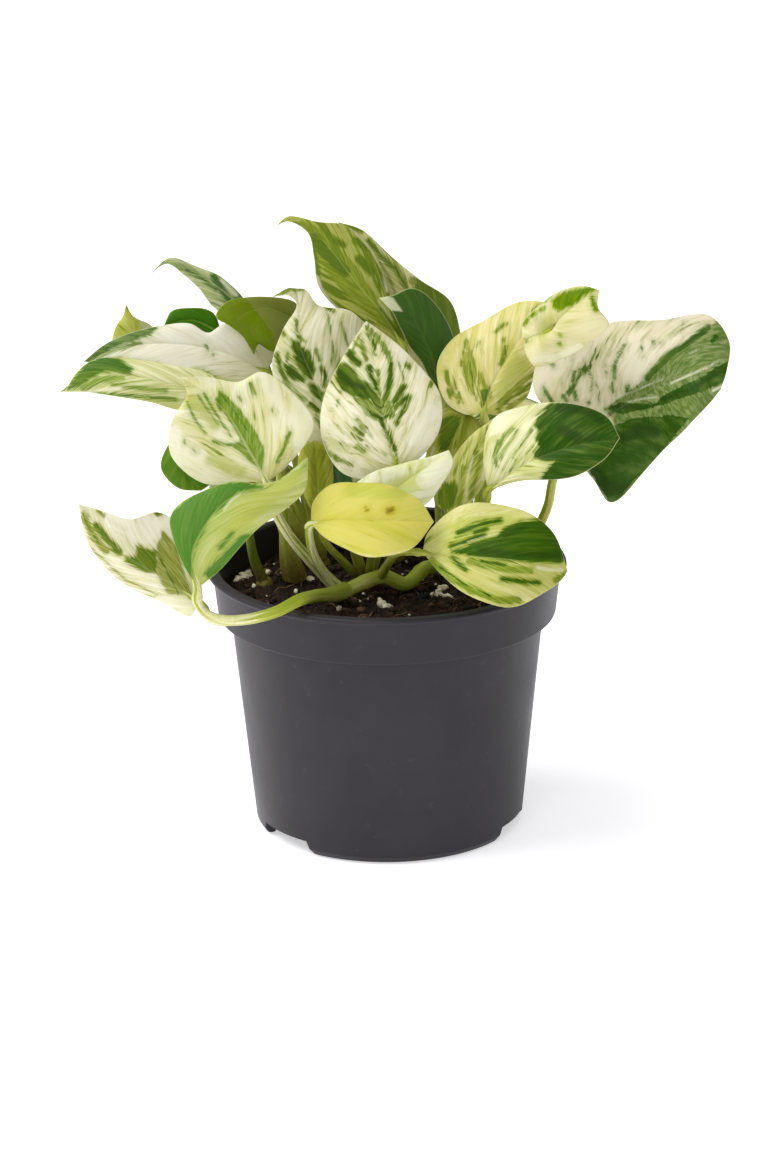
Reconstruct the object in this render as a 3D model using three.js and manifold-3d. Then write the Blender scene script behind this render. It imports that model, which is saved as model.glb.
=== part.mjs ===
// A variegated pothos in a plastic nursery pot. Millimetres, +Z up.
// The origin is on the ground, on the pot's axis. The front of the plant looks toward -Y.
import * as THREE from "three";
import { mergeVertices } from "three/addons/utils/BufferGeometryUtils.js";
import Module from "manifold-3d";

const wasm = await Module();
wasm.setup();

// Pot, a common 12 cm nursery pot
const POT_HEIGHT = 91;
const RIM_RADIUS = 60;
const RIM_LIP = 2;
const BAND_TOP_RADIUS = 57.9;
const BAND_LOW_RADIUS = 56.4;
const BAND_LOW = 74.3;
const WALL_TOP_RADIUS = 52.2;
const WALL_LOW_RADIUS = 44.8;
const FOOT_RADIUS = 42;
const FOOT_WIDTH = 1.6;
const WALL = 1.4;
const STEP_DROP = 1.2;
const STEP_RISE = 2.2;
const CORNER = 0.6;
const FLOOR_LOW = 5.6;
const FLOOR_TOP = 7.2;
const POT_SIDES = 40;

// Drainage notches in the foot ring, by their bearing from the front, toward +X
const NOTCH_BEARINGS = [-52.5, 71, 189];
const NOTCH_HEIGHT = 5.2;
const NOTCH_HALF_LOW = 13.6;
const NOTCH_HALF_TOP = 11.2;
const NOTCH_DEPTH = 16;
const DRAIN_HOLES = 6;
const DRAIN_HOLE_RADIUS = 3.5;
const DRAIN_CIRCLE = 27;

// Soil
const SOIL_TOP = 80;
const SOIL_RINGS = [48, 36, 24, 12];
const SOIL_BUMP = 0.7;
const STEM_HOLE_FLOOR = 60;

// Clearance that touching pieces keep. Slanting faces take some of a stalk's away at its blade.
const GAP = 0.3;
const BLADE_SEAT_GAP = 0.42;

// Blades
const BLADE_THICKNESS = 0.7;
const BLADE_ROWS = 10;
const BLADE_HALF_COLUMNS = 2;
const VEIN_FAN = 1.25;
const RIB_SAMPLES = 60;

// Stems
const STEM_SIDES = 6;
const CROWN_SIDES = 8;
const CROWN_RADIUS = 3;
const STEM_STEP = 11;
const PETIOLE_STOP = 0.5;

const POT_COLOUR = 0x46444b;
const SOIL_COLOUR = 0x33251c;
const STEM_COLOUR = 0xa7b35a;

// The view that the blades were read in. It looks along +Y and down, at a point on the pot's axis.
const VIEW_DISTANCE = 1792;
const VIEW_ELEVATION = THREE.MathUtils.degToRad(18.9);
const VIEW_ROLL = THREE.MathUtils.degToRad(-0.71);
const VIEW_TARGET = new THREE.Vector3(-0.9, 0, 85.8);
const VIEW_FOCAL_PX = 5377;
const VIEW_CENTRE_PX = [384, 576];

// Blades that face the view. The midrib runs from base to tip as u, v in pixels and the depth
// along Y in millimetres. The margins run between base and tip as u, v, left and right as seen
// on the upper face with the tip up. facing is the way that each half looks, and bow is how far
// it arches up, as a share of its width.
const SEEN_BLADES = {
  top: {
    colour: 0xa9b565,
    rib: [[405, 348, 12], [385, 318, 13], [355, 281, 16], [322, 240, 20], [303, 225, 21],
      [286, 219, 21], [276, 226, 20]],
    left: [[392, 345], [374, 330], [352, 317], [333, 305], [318, 284], [314, 258], [308, 233], [288, 221.5]],
    right: [[408, 341], [394, 311], [387, 285], [372, 250], [347, 226], [318, 222], [288, 216.5]],
    facing: [[-0.35, -0.8, 0.4], [0.35, -0.8, 0.45]],
    bow: [0.06, 0.08],
  },
  top_back: {
    colour: 0xd2d29c,
    rib: [[448, 398, 22], [427, 335, 27], [392, 268, 30], [338, 222, 32]],
    left: [[415, 390], [385, 340], [372, 300], [358, 262], [342, 232]],
    right: [[462, 372], [461, 335], [451, 302], [419, 279], [392, 257], [362, 230]],
    facing: [[-0.2, -0.85, 0.4], [0.4, -0.75, 0.5]],
    bow: [0.05, 0.1],
  },
  dark: {
    colour: 0x2f5426,
    rib: [[441, 394, 10], [430, 352, 9], [413, 318, 7], [395, 302, 4], [379, 298, 2]],
    left: [[432, 382], [421, 361], [407, 342], [392, 312]],
    right: [[454, 372], [456, 345], [444, 316], [428, 296], [411, 288], [394, 295]],
    facing: [[-0.3, -0.85, 0.3], [0.4, -0.8, 0.35]],
    bow: [0.05, 0.1],
  },
  drip: {
    colour: 0xb9c79a,
    rib: [[250, 314, 24], [222, 290, 26], [195, 272, 27], [168, 261, 27], [151, 273, 26]],
    left: [[232, 318], [212, 306], [198, 287], [184, 275], [167, 264]],
    right: [[244, 299], [222, 278], [200, 268], [170, 258]],
    facing: [[0, -0.8, 0.6], [0, -0.7, 0.7]],
    bow: [0.05, 0.08],
  },
  spike: {
    colour: 0xc0c66e,
    rib: [[150, 362, 22], [137, 338, 22], [129, 318, 22], [126, 304, 22]],
    left: [[122, 368], [112, 345], [116, 326], [123, 316]],
    right: [[165, 352], [156, 331], [147, 323], [133, 316]],
    facing: [[-0.4, -0.8, 0.4], [0.4, -0.8, 0.4]],
    bow: [0.08, 0.08],
  },
  dome: {
    colour: 0x3f7027,
    rib: [[222, 334, 23], [192, 320, 23], [164, 325, 21]],
    left: [[208, 341], [190, 338], [172, 332]],
    right: [[214, 314], [205, 309], [191, 308], [172, 311]],
    facing: [[0, -0.95, 0.3], [0, -0.8, 0.6]],
    bow: [0.1, 0.12],
  },
  olive: {
    colour: 0x6f8422,
    rib: [[300, 322, 18], [268, 308, 15], [241, 318, 9], [245, 338, 6], [254, 355, 5]],
    left: [[300, 345], [280, 352], [268, 350], [259, 344]],
    right: [[296, 303], [262, 297], [228, 301], [216, 316], [230, 326], [249, 342]],
    facing: [[0, -0.9, 0.4], [0, -0.8, 0.6]],
    bow: [0.1, 0.12],
  },
  left_upper: {
    colour: 0xe4e2c8,
    rib: [[266, 372, 16], [225, 353, 15], [172, 344, 13], [120, 348, 12], [83, 362, 11]],
    left: [[255, 392], [215, 388], [165, 375], [120, 364], [98, 363]],
    right: [[275, 352], [250, 334], [225, 324], [208, 333], [190, 324], [165, 325], [130, 333], [104, 345]],
    facing: [[0, -0.85, 0.5], [0, -0.8, 0.6]],
    bow: [0.08, 0.1],
  },
  left_lower: {
    colour: 0xd3d69c,
    rib: [[215, 398, -4], [155, 380, -3], [105, 376, -1], [64.5, 392, 2]],
    left: [[205, 408], [178, 410], [150, 402], [112, 396], [85, 392]],
    right: [[215, 378], [165, 364], [125, 358], [95, 360], [78, 371]],
    facing: [[0, -0.95, 0.2], [0, -0.7, 0.7]],
    bow: [0.05, 0.12],
  },
  back_left: {
    colour: 0xd6d7b4,
    rib: [[338, 446, -10], [320, 394, -6], [300, 345, -1], [299, 305, 3], [292, 288, 4], [272, 297, 3]],
    left: [[318, 448], [285, 405], [272, 367], [283, 330], [297, 305], [289, 296]],
    right: [[355, 440], [380, 398], [376, 345], [352, 312], [318, 305], [304, 289]],
    facing: [[-0.25, -0.85, 0.4], [0.2, -0.85, 0.45]],
    bow: [0.08, 0.08],
  },
  centre: {
    colour: 0xe2e0c0,
    rib: [[396, 466, -28], [384, 420, -22], [377, 375, -15], [366, 321, -8]],
    left: [[368, 479], [341, 472], [322, 438], [323, 400], [343, 357]],
    right: [[415, 462], [440, 428], [439, 393], [408, 354], [383, 333]],
    facing: [[-0.15, -0.88, 0.45], [0.2, -0.85, 0.45]],
    bow: [0.06, 0.08],
  },
  front_left: {
    colour: 0xe8e8bf,
    rib: [[267, 482, -38], [247, 447, -34], [227, 414, -32], [203, 391, -33], [181, 377, -36]],
    left: [[240, 482], [203, 483], [172, 457], [171, 422], [187, 395]],
    right: [[285, 468], [314, 424], [290, 390], [262, 372], [238, 382], [207, 377]],
    facing: [[-0.3, -0.8, 0.45], [0.1, -0.85, 0.5]],
    bow: [0.06, 0.08],
  },
  low_green: {
    colour: 0x5c8a34,
    rib: [[215, 420, -20], [193, 448, -22], [186, 472, -24], [201, 491, -26]],
    left: [[232, 445], [222, 470], [212, 483]],
    right: [[188, 423], [168, 445], [161, 468], [178, 488]],
    facing: [[0.2, -0.9, 0.4], [-0.3, -0.85, 0.4]],
    bow: [0.1, 0.1],
  },
  striped: {
    colour: 0x9db85e,
    rib: [[198, 588, -60], [192, 557, -59], [202, 531, -56], [229, 499, -50], [268, 488, -45],
      [308, 457, -38]],
    left: [[183, 563], [170, 520], [180, 504], [229, 482], [262, 484], [296, 473]],
    right: [[219, 571], [252, 534], [290, 505], [305, 490]],
    facing: [[-0.2, -0.8, 0.55], [0.25, -0.75, 0.55]],
    bow: [0.1, 0.08],
  },
  cup: {
    colour: 0xdadcae,
    rib: [[198, 602, -52], [162, 578, -54], [118, 550, -54], [78, 504, -50]],
    left: [[190, 616], [160, 601], [118, 580], [88, 543]],
    right: [[192, 556], [178, 524], [158, 512], [130, 519], [97, 509]],
    facing: [[0, -0.95, -0.1], [0, -0.65, 0.75]],
    bow: [0.05, -0.1],
  },
  yellow: {
    colour: 0xdcd45f,
    rib: [[311, 523, -44], [350, 520, -50], [395, 521, -52], [434, 522, -49]],
    left: [[314, 501], [333, 485], [375, 484], [417, 498]],
    right: [[327, 539], [373, 557], [411, 549]],
    facing: [[0, -0.65, 0.75], [0, -0.75, 0.65]],
    bow: [0.08, 0.1],
  },
  white: {
    colour: 0xe6ead0,
    rib: [[380, 503, -36], [405, 482, -34], [430, 465, -32], [449, 450, -31]],
    left: [[352, 490], [366, 476], [400, 464], [433, 456]],
    right: [[400, 512], [425, 505], [440, 487], [453, 462]],
    facing: [[0, -0.75, 0.6], [0.2, -0.8, 0.5]],
    bow: [0.08, 0.08],
  },
  right_front: {
    colour: 0xb4c474,
    rib: [[423, 552, -48], [470, 557, -57], [520, 561, -60], [567.5, 571, -56]],
    left: [[428, 533], [452, 511], [485, 503], [522, 510], [554, 534]],
    right: [[440, 573], [466, 594], [506, 608], [550, 589], [563, 578]],
    facing: [[0, -0.65, 0.75], [0, -0.8, 0.55]],
    bow: [0.08, 0.1],
  },
  right_mid: {
    colour: 0x7fa15a,
    rib: [[488, 490, -30], [530, 462, -36], [575, 446, -40], [620, 438, -40]],
    left: [[484, 460], [493, 419], [522, 407], [569, 403], [606, 416]],
    right: [[520, 481], [573, 477], [604, 460]],
    facing: [[0, -0.8, 0.55], [0, -0.85, 0.45]],
    bow: [0.08, 0.1],
  },
  streaked: {
    colour: 0xa6b15c,
    rib: [[452, 516, -27], [462, 480, -24], [478, 447, -20], [491, 421, -17]],
    left: [[436, 502], [443, 481], [455, 455], [475, 432]],
    right: [[470, 503], [485, 480], [491, 455], [494, 436]],
    facing: [[-0.3, -0.85, 0.4], [0.3, -0.85, 0.4]],
    bow: [0.08, 0.08],
  },
  cream_right: {
    colour: 0xd9d79a,
    rib: [[484, 412, -8], [492, 386, -4], [508, 357, 1], [528, 328, 6], [550, 302, 9]],
    left: [[468, 415], [446, 402], [437, 366], [453, 339], [484, 320], [519, 302]],
    right: [[497, 415], [525, 400], [535, 372], [546, 340], [553, 318]],
    facing: [[-0.25, -0.8, 0.5], [0.35, -0.8, 0.4]],
    bow: [0.08, 0.08],
  },
  hanging: {
    colour: 0x7c8c33,
    rib: [[466, 412, -3], [455, 436, -6], [438, 468, -10]],
    left: [[480, 424], [474, 446], [456, 470]],
    right: [[446, 408], [431, 432], [427, 458]],
    facing: [[0.2, -0.9, 0.3], [-0.2, -0.9, 0.3]],
    bow: [0.1, 0.1],
  },
  small_cup: {
    colour: 0xecebb6,
    rib: [[544, 332, -22], [560, 318, -26], [580, 302, -28], [599, 290, -28]],
    left: [[528, 337], [522, 326], [540, 305], [563, 290], [584, 286]],
    right: [[527, 346], [534, 366], [562, 359], [592, 341], [609, 324], [598, 308]],
    facing: [[0, -0.75, 0.65], [0.1, -0.85, 0.5]],
    bow: [0.1, 0.1],
  },
  big_right: {
    colour: 0x8aa878,
    rib: [[596, 424, -16], [640, 396, -21], [690, 374, -29], [721, 389, -35]],
    left: [[560, 418], [534, 390], [545, 350], [614, 322], [660, 320], [708, 315], [729, 341], [727, 370]],
    right: [[578, 455], [595, 481], [608, 502], [616, 501], [640, 477], [665, 450], [690, 424], [711, 402]],
    facing: [[0, -0.8, 0.6], [0, -0.95, 0.3]],
    bow: [0.08, 0.08],
  },
  fill_olive: {
    colour: 0x8e9431,
    rib: [[318, 520, -22], [318, 488, -20], [314, 440, -18]],
    left: [[306, 500], [298, 468], [302, 448]],
    right: [[330, 500], [333, 470], [328, 448]],
    facing: [[-0.2, -0.95, 0.2], [0.2, -0.95, 0.2]],
    bow: [0.1, 0.1],
  },
  fill_dark: {
    colour: 0x4f6a44,
    rib: [[345, 505, -14], [339, 482, -13], [331, 458, -12]],
    left: [[335, 494], [326, 474]],
    right: [[353, 488], [347, 468]],
    facing: [[-0.2, -0.95, 0.2], [0.2, -0.95, 0.2]],
    bow: [0.1, 0.1],
  },
};

// Blades behind the plant, all in millimetres
const HIDDEN_BLADES = {
  back_long_left: {
    colour: 0xc9cf9a,
    rib: [[-52, 34, 138], [-72, 42, 147], [-92, 48, 148], [-110, 50, 136]],
    left: [[-58, 24, 140], [-76, 27, 143], [-94, 37, 142]],
    right: [[-56, 50, 142], [-76, 60, 144], [-96, 58, 143]],
    bow: [0.1, 0.1],
  },
  back_mid_left: {
    colour: 0xdcdcae,
    rib: [[-26, 36, 120], [-34, 48, 128], [-42, 60, 128], [-48, 70, 118]],
    left: [[-40, 34, 118], [-52, 46, 122], [-56, 60, 120]],
    right: [[-14, 42, 118], [-20, 60, 124], [-34, 70, 120]],
    bow: [0.1, 0.1],
  },
  back_right: {
    colour: 0xb9c583,
    rib: [[24, 34, 124], [34, 46, 132], [44, 58, 130], [52, 69, 118]],
    left: [[14, 44, 124], [20, 60, 128], [38, 70, 122]],
    right: [[36, 28, 124], [52, 38, 128], [60, 54, 122]],
    bow: [0.1, 0.1],
  },
  back_high: {
    colour: 0x6f9448,
    rib: [[-10, 32, 140], [-14, 42, 152], [-20, 54, 158], [-24, 66, 152]],
    left: [[-22, 36, 140], [-32, 48, 148], [-32, 62, 150]],
    right: [[0, 36, 142], [2, 50, 150], [-8, 64, 152]],
    bow: [0.1, 0.1],
  },
  back_low: {
    colour: 0xd5d99f,
    rib: [[0, 44, 102], [0, 54, 108], [-2, 63, 106], [-4, 70, 97]],
    left: [[-12, 46, 100], [-16, 58, 102], [-12, 68, 100]],
    right: [[10, 46, 100], [13, 58, 102], [7, 68, 100]],
    bow: [0.1, 0.1],
  },
  back_rim_left: {
    colour: 0x86a553,
    rib: [[-34, 32, 106], [-44, 40, 112], [-53, 48, 108], [-60, 55, 98]],
    left: [[-42, 26, 106], [-52, 34, 109], [-60, 45, 103]],
    right: [[-28, 44, 106], [-38, 56, 109], [-50, 62, 103]],
    bow: [0.1, 0.1],
  },
  back_rim_right: {
    colour: 0xc3cb8d,
    rib: [[18, 40, 104], [26, 50, 110], [34, 58, 107], [40, 64, 97]],
    left: [[10, 48, 104], [16, 60, 107], [28, 66, 103]],
    right: [[28, 36, 104], [38, 46, 107], [42, 56, 103]],
    bow: [0.1, 0.1],
  },
};

// Each leafy stem: where its crowns stand in the soil, as x, y and the crown's top, and the
// stalks that grow from it. A stalk with "to" runs on from its path to that blade's base.
const STEMS = {
  runner: {
    crowns: [[-14, -7, 84], [19, 17, 83]],
    stalks: [
      { radius: 2.4, path: [[-14, -7, 83], [-6, -5, 86], [-1, -4, 87], [6, -3, 84], [13, 7, 86],
        [19, 17, 82]] },
      { radius: 2.3, path: [[-14, -7, 83], [-19, -22, 87], [-24, -38, 92], [-29, -52, 95.5], [-36, -59, 94],
        [-46, -61, 92.5], [-55, -61, 91.8], [-60, -60, 94]] },
      { to: "striped", radius: 1.5, path: [[-57, -61, 91], [-61, -61, 96]] },
      { to: "cup", radius: 1.5, path: [[-52, -61, 91], [-57, -57, 92]] },
      { to: "right_front", radius: 1.3, path: [[-2, -4, 87], [1, -18, 97], [4, -33, 105]] },
      { to: "yellow", radius: 1.5, path: [[-15, -8, 84], [-19, -12, 89], [-23, -22, 99], [-25, -34, 111]] },
      { to: "front_left", radius: 1.5, path: [[-16, -8, 84], [-25, -14, 96], [-32, -22, 108],
        [-37, -28, 120]] },
    ],
  },
  left_pair: {
    crowns: [[-31, 12, 84]],
    stalks: [
      { to: "left_upper", radius: 1.7, path: [[-31, 12, 82], [-33, 9, 92], [-35, 10, 120], [-37, 14, 140]] },
      { to: "low_green", radius: 1.5, path: [[-30, 11, 82], [-32, 5, 92], [-36, 0, 108], [-46, -10, 134]] },
    ],
  },
  left_thin: {
    crowns: [[-41, 12, 83]],
    stalks: [
      { to: "left_lower", radius: 1.4, path: [[-41, 12, 82], [-45, 8, 90], [-45, 4, 101], [-48, -1, 128]] },
    ],
  },
  centre: {
    crowns: [[-7, 9, 84]],
    stalks: [
      { to: "centre", radius: 1.5, path: [[-6, 8, 82], [-2, 0, 98], [2, -12, 116]] },
      { to: "white", radius: 1.3, path: [[-6, 8, 82], [-5, -4, 94], [-5, -22, 108]] },
      { to: "back_left", radius: 1.5, path: [[-8, 10, 82], [-12, 6, 100], [-14, 1, 118]] },
      { to: "fill_olive", radius: 1.2, path: [[-9, 9, 82], [-15, -1, 92], [-20, -12, 102]] },
      { to: "fill_dark", radius: 1.2, path: [[-8, 8, 82], [-11, 0, 96], [-13, -8, 107]] },
    ],
  },
  right: {
    crowns: [[28, 4, 84]],
    stalks: [
      { to: "right_mid", radius: 1.5, path: [[28, 3, 82], [30, -6, 96], [33, -20, 112]] },
      { to: "streaked", radius: 1.3, path: [[27, 3, 82], [24, -6, 92], [22, -18, 104]] },
      { to: "cream_right", radius: 1.5, path: [[29, 5, 82], [33, 5, 106], [34, 1, 130]] },
      { to: "hanging", radius: 1.2, path: [[28, 5, 82], [28, 5, 106], [28, 4, 130]] },
      { to: "small_cup", radius: 1.4, path: [[30, 5, 82], [31, 12, 108], [38, 15, 132], [50, 14, 152],
        [58, 9, 166], [57, -6, 176]] },
    ],
  },
  far_right: {
    crowns: [[41, 14, 84]],
    stalks: [
      { to: "big_right", radius: 1.6, path: [[41, 14, 82], [50, 11, 97], [54, 6, 108], [55.5, 2, 118],
        [60, -7, 134]] },
    ],
  },
  back: {
    crowns: [[2, 28, 84]],
    stalks: [
      { to: "top", radius: 1.6, path: [[2, 27, 82], [4, 26, 110], [7, 19, 145]] },
      { to: "dark", radius: 1.4, path: [[3, 26, 82], [11, 20, 110], [18, 14, 134]] },
      { to: "top_back", radius: 1.5, path: [[4, 29, 82], [14, 30, 108], [20, 26, 130]] },
      { to: "back_high", radius: 1.4, path: [[1, 29, 82], [-5, 32, 108], [-9, 31, 130]] },
      { to: "back_low", radius: 1.3, path: [[2, 30, 82], [1, 36, 92]] },
    ],
  },
  back_left: {
    crowns: [[-22, 30, 84]],
    stalks: [
      { to: "olive", radius: 1.5, path: [[-22, 29, 82], [-24, 30, 118], [-27, 24, 154]] },
      { to: "drip", radius: 1.4, path: [[-23, 30, 82], [-31, 31, 120], [-41, 30, 156]] },
      { to: "dome", radius: 1.4, path: [[-23, 30, 82], [-37, 31, 120], [-50, 29, 150]] },
      { to: "spike", radius: 1.4, path: [[-24, 30, 82], [-42, 23, 112], [-64, 17, 138]] },
      { to: "back_long_left", radius: 1.5, path: [[-24, 30, 82], [-31, 22, 98], [-44, 22, 116],
        [-50, 28, 130]] },
      { to: "back_mid_left", radius: 1.4, path: [[-22, 31, 82], [-23, 35, 102]] },
      { to: "back_rim_left", radius: 1.3, path: [[-24, 30, 82], [-29, 31, 94]] },
    ],
  },
  back_right: {
    crowns: [[19, 32, 84]],
    stalks: [
      { to: "back_right", radius: 1.4, path: [[19, 32, 82], [22, 32, 106]] },
      { to: "back_rim_right", radius: 1.3, path: [[19, 33, 82], [18, 37, 93]] },
    ],
  },
};

const toVector = (point) => new THREE.Vector3(...point);
const smooth = (points) => new THREE.CatmullRomCurve3(points, false, "centripetal");

function toSolid(geometry) {
  const bare = new THREE.BufferGeometry();
  bare.setAttribute("position", geometry.getAttribute("position"));
  bare.setIndex(geometry.getIndex());
  const merged = mergeVertices(bare, 1e-4);
  return new wasm.Manifold(new wasm.Mesh({
    numProp: 3,
    vertProperties: new Float32Array(merged.getAttribute("position").array),
    triVerts: new Uint32Array(merged.getIndex().array),
  }));
}

function toGeometry(solid) {
  const mesh = solid.getMesh();
  const geometry = new THREE.BufferGeometry();
  geometry.setAttribute("position", new THREE.BufferAttribute(new Float32Array(mesh.vertProperties), 3));
  geometry.setIndex(new THREE.BufferAttribute(new Uint32Array(mesh.triVerts), 1));
  geometry.computeVertexNormals();
  return geometry;
}

function indexed(points, triangles) {
  const geometry = new THREE.BufferGeometry();
  geometry.setFromPoints(points);
  geometry.setIndex(triangles.flat());
  return geometry;
}

// A point on the pot's circles, by its bearing from the front toward +X
function onCircle(radius, bearing, height) {
  return new THREE.Vector3(radius * Math.sin(bearing), -radius * Math.cos(bearing), height);
}

function potSolid() {
  const lipLow = POT_HEIGHT - RIM_LIP;
  const bandInner = BAND_TOP_RADIUS - WALL;
  const profile = [
    [0, FLOOR_LOW],
    [FOOT_RADIUS - FOOT_WIDTH, FLOOR_LOW],
    [FOOT_RADIUS - FOOT_WIDTH, 0],
    [FOOT_RADIUS, 0],
    [FOOT_RADIUS + 1.4, 0.6],
    [FOOT_RADIUS + 2.1, 1.6],
    [WALL_LOW_RADIUS, 2.6],
    [WALL_TOP_RADIUS, BAND_LOW],
    [BAND_LOW_RADIUS - CORNER / 2, BAND_LOW],
    [BAND_LOW_RADIUS, BAND_LOW + CORNER],
    [BAND_TOP_RADIUS, lipLow - CORNER],
    [RIM_RADIUS - CORNER, lipLow],
    [RIM_RADIUS, lipLow + CORNER],
    [RIM_RADIUS, POT_HEIGHT - CORNER],
    [RIM_RADIUS - CORNER, POT_HEIGHT],
    [bandInner, POT_HEIGHT],
    [bandInner - CORNER, POT_HEIGHT - CORNER],
    [BAND_LOW_RADIUS - WALL, BAND_LOW + STEP_RISE],
    [WALL_TOP_RADIUS - WALL, BAND_LOW - STEP_DROP],
    [WALL_LOW_RADIUS - WALL, FLOOR_TOP],
    [0, FLOOR_TOP],
  ].map(([radius, height]) => new THREE.Vector2(radius, height));
  const turned = new THREE.LatheGeometry(profile, POT_SIDES).rotateX(Math.PI / 2);
  let pot = toSolid(turned);

  const notch = new THREE.Shape([
    new THREE.Vector2(-NOTCH_HALF_LOW, -1),
    new THREE.Vector2(NOTCH_HALF_LOW, -1),
    new THREE.Vector2(NOTCH_HALF_TOP, NOTCH_HEIGHT),
    new THREE.Vector2(-NOTCH_HALF_TOP, NOTCH_HEIGHT),
  ]);
  for (const bearing of NOTCH_BEARINGS) {
    const cutter = new THREE.ExtrudeGeometry(notch, { depth: NOTCH_DEPTH, bevelEnabled: false });
    cutter.rotateX(Math.PI / 2);
    cutter.translate(0, 10 - FOOT_RADIUS, 0);
    cutter.rotateZ(THREE.MathUtils.degToRad(bearing));
    pot = pot.subtract(toSolid(cutter));
  }

  for (let i = 0; i < DRAIN_HOLES; i += 1) {
    const drain = new THREE.CylinderGeometry(DRAIN_HOLE_RADIUS, DRAIN_HOLE_RADIUS, 6, 10);
    const centre = onCircle(DRAIN_CIRCLE, (2 * Math.PI * i) / DRAIN_HOLES, FLOOR_TOP);
    drain.rotateX(Math.PI / 2);
    drain.translate(...centre);
    pot = pot.subtract(toSolid(drain));
  }
  return pot;
}

// The soil's surface has gentle hills
function soilHeight(x, y) {
  const waves = Math.sin(0.31 * x + 1.3) * Math.cos(0.27 * y) + 0.6 * Math.sin(0.53 * x - 0.41 * y);
  return SOIL_TOP + SOIL_BUMP * waves;
}

// Rings of points from the floor up the wall and in over the surface, closed at both poles
function soilSolid() {
  const wallRings = [
    [WALL_LOW_RADIUS - WALL - GAP, FLOOR_TOP + GAP],
    [WALL_TOP_RADIUS - WALL - GAP, BAND_LOW - STEP_DROP + GAP],
    [BAND_LOW_RADIUS - WALL - 2 * GAP, BAND_LOW + STEP_RISE + GAP],
    [BAND_LOW_RADIUS - WALL - GAP, SOIL_TOP - 1],
  ];
  const rings = [...wallRings, ...SOIL_RINGS.map((radius) => [radius, null])];
  const points = [new THREE.Vector3(0, 0, FLOOR_TOP + GAP)];
  for (const [radius, height] of rings) {
    for (let i = 0; i < POT_SIDES; i += 1) {
      const point = onCircle(radius, (2 * Math.PI * i) / POT_SIDES, height);
      if (height === null) point.z = soilHeight(point.x, point.y);
      points.push(point);
    }
  }
  points.push(new THREE.Vector3(0, 0, soilHeight(0, 0)));

  const triangles = [];
  const at = (ring, i) => 1 + ring * POT_SIDES + (i % POT_SIDES);
  for (let i = 0; i < POT_SIDES; i += 1) {
    triangles.push([0, at(0, i + 1), at(0, i)]);
    for (let ring = 0; ring < rings.length - 1; ring += 1) {
      triangles.push([at(ring, i), at(ring, i + 1), at(ring + 1, i + 1)]);
      triangles.push([at(ring, i), at(ring + 1, i + 1), at(ring + 1, i)]);
    }
    triangles.push([at(rings.length - 1, i), at(rings.length - 1, i + 1), points.length - 1]);
  }
  return toSolid(indexed(points, triangles));
}

const view = (() => {
  const forward = new THREE.Vector3(0, Math.cos(VIEW_ELEVATION), -Math.sin(VIEW_ELEVATION));
  const right = new THREE.Vector3(1, 0, 0).applyAxisAngle(forward, -VIEW_ROLL);
  const up = right.clone().cross(forward);
  const eye = VIEW_TARGET.clone().addScaledVector(forward, -VIEW_DISTANCE);
  return { forward, right, up, eye };
})();

// The direction in which the view sees a pixel
function rayThrough(u, v) {
  return view.forward.clone()
    .addScaledVector(view.right, (u - VIEW_CENTRE_PX[0]) / VIEW_FOCAL_PX)
    .addScaledVector(view.up, (VIEW_CENTRE_PX[1] - v) / VIEW_FOCAL_PX);
}

function seenAtDepth([u, v, depth]) {
  const ray = rayThrough(u, v);
  return view.eye.clone().addScaledVector(ray, (depth - view.eye.y) / ray.y);
}

// A margin point lies where its ray meets the plane of its half, through the nearest rib point
function seenOnHalf([u, v], ribPoints, facing) {
  const ray = rayThrough(u, v);
  const missed = (point) => point.clone().sub(view.eye).normalize().distanceTo(ray.clone().normalize());
  const nearest = ribPoints.reduce((best, point) => (missed(point) < missed(best) ? point : best));
  const reach = nearest.clone().sub(view.eye).dot(facing) / ray.dot(facing);
  return view.eye.clone().addScaledVector(ray, reach);
}

// A blade's curves in millimetres: its midrib, and its margins with the base and tip joined on
function bladeCurves(name) {
  const seen = SEEN_BLADES[name];
  const blade = seen ?? HIDDEN_BLADES[name];
  const rib = blade.rib.map(seen ? seenAtDepth : toVector);
  const ribCurve = smooth(rib);
  const samples = ribCurve.getSpacedPoints(RIB_SAMPLES);
  const margins = [blade.left, blade.right].map((margin, half) => {
    const points = margin.map((point) => (
      seen ? seenOnHalf(point, samples, toVector(blade.facing[half])) : toVector(point)));
    return smooth([rib[0], ...points, rib[rib.length - 1]]);
  });
  return { rib: ribCurve, margins, bow: blade.bow };
}

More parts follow.
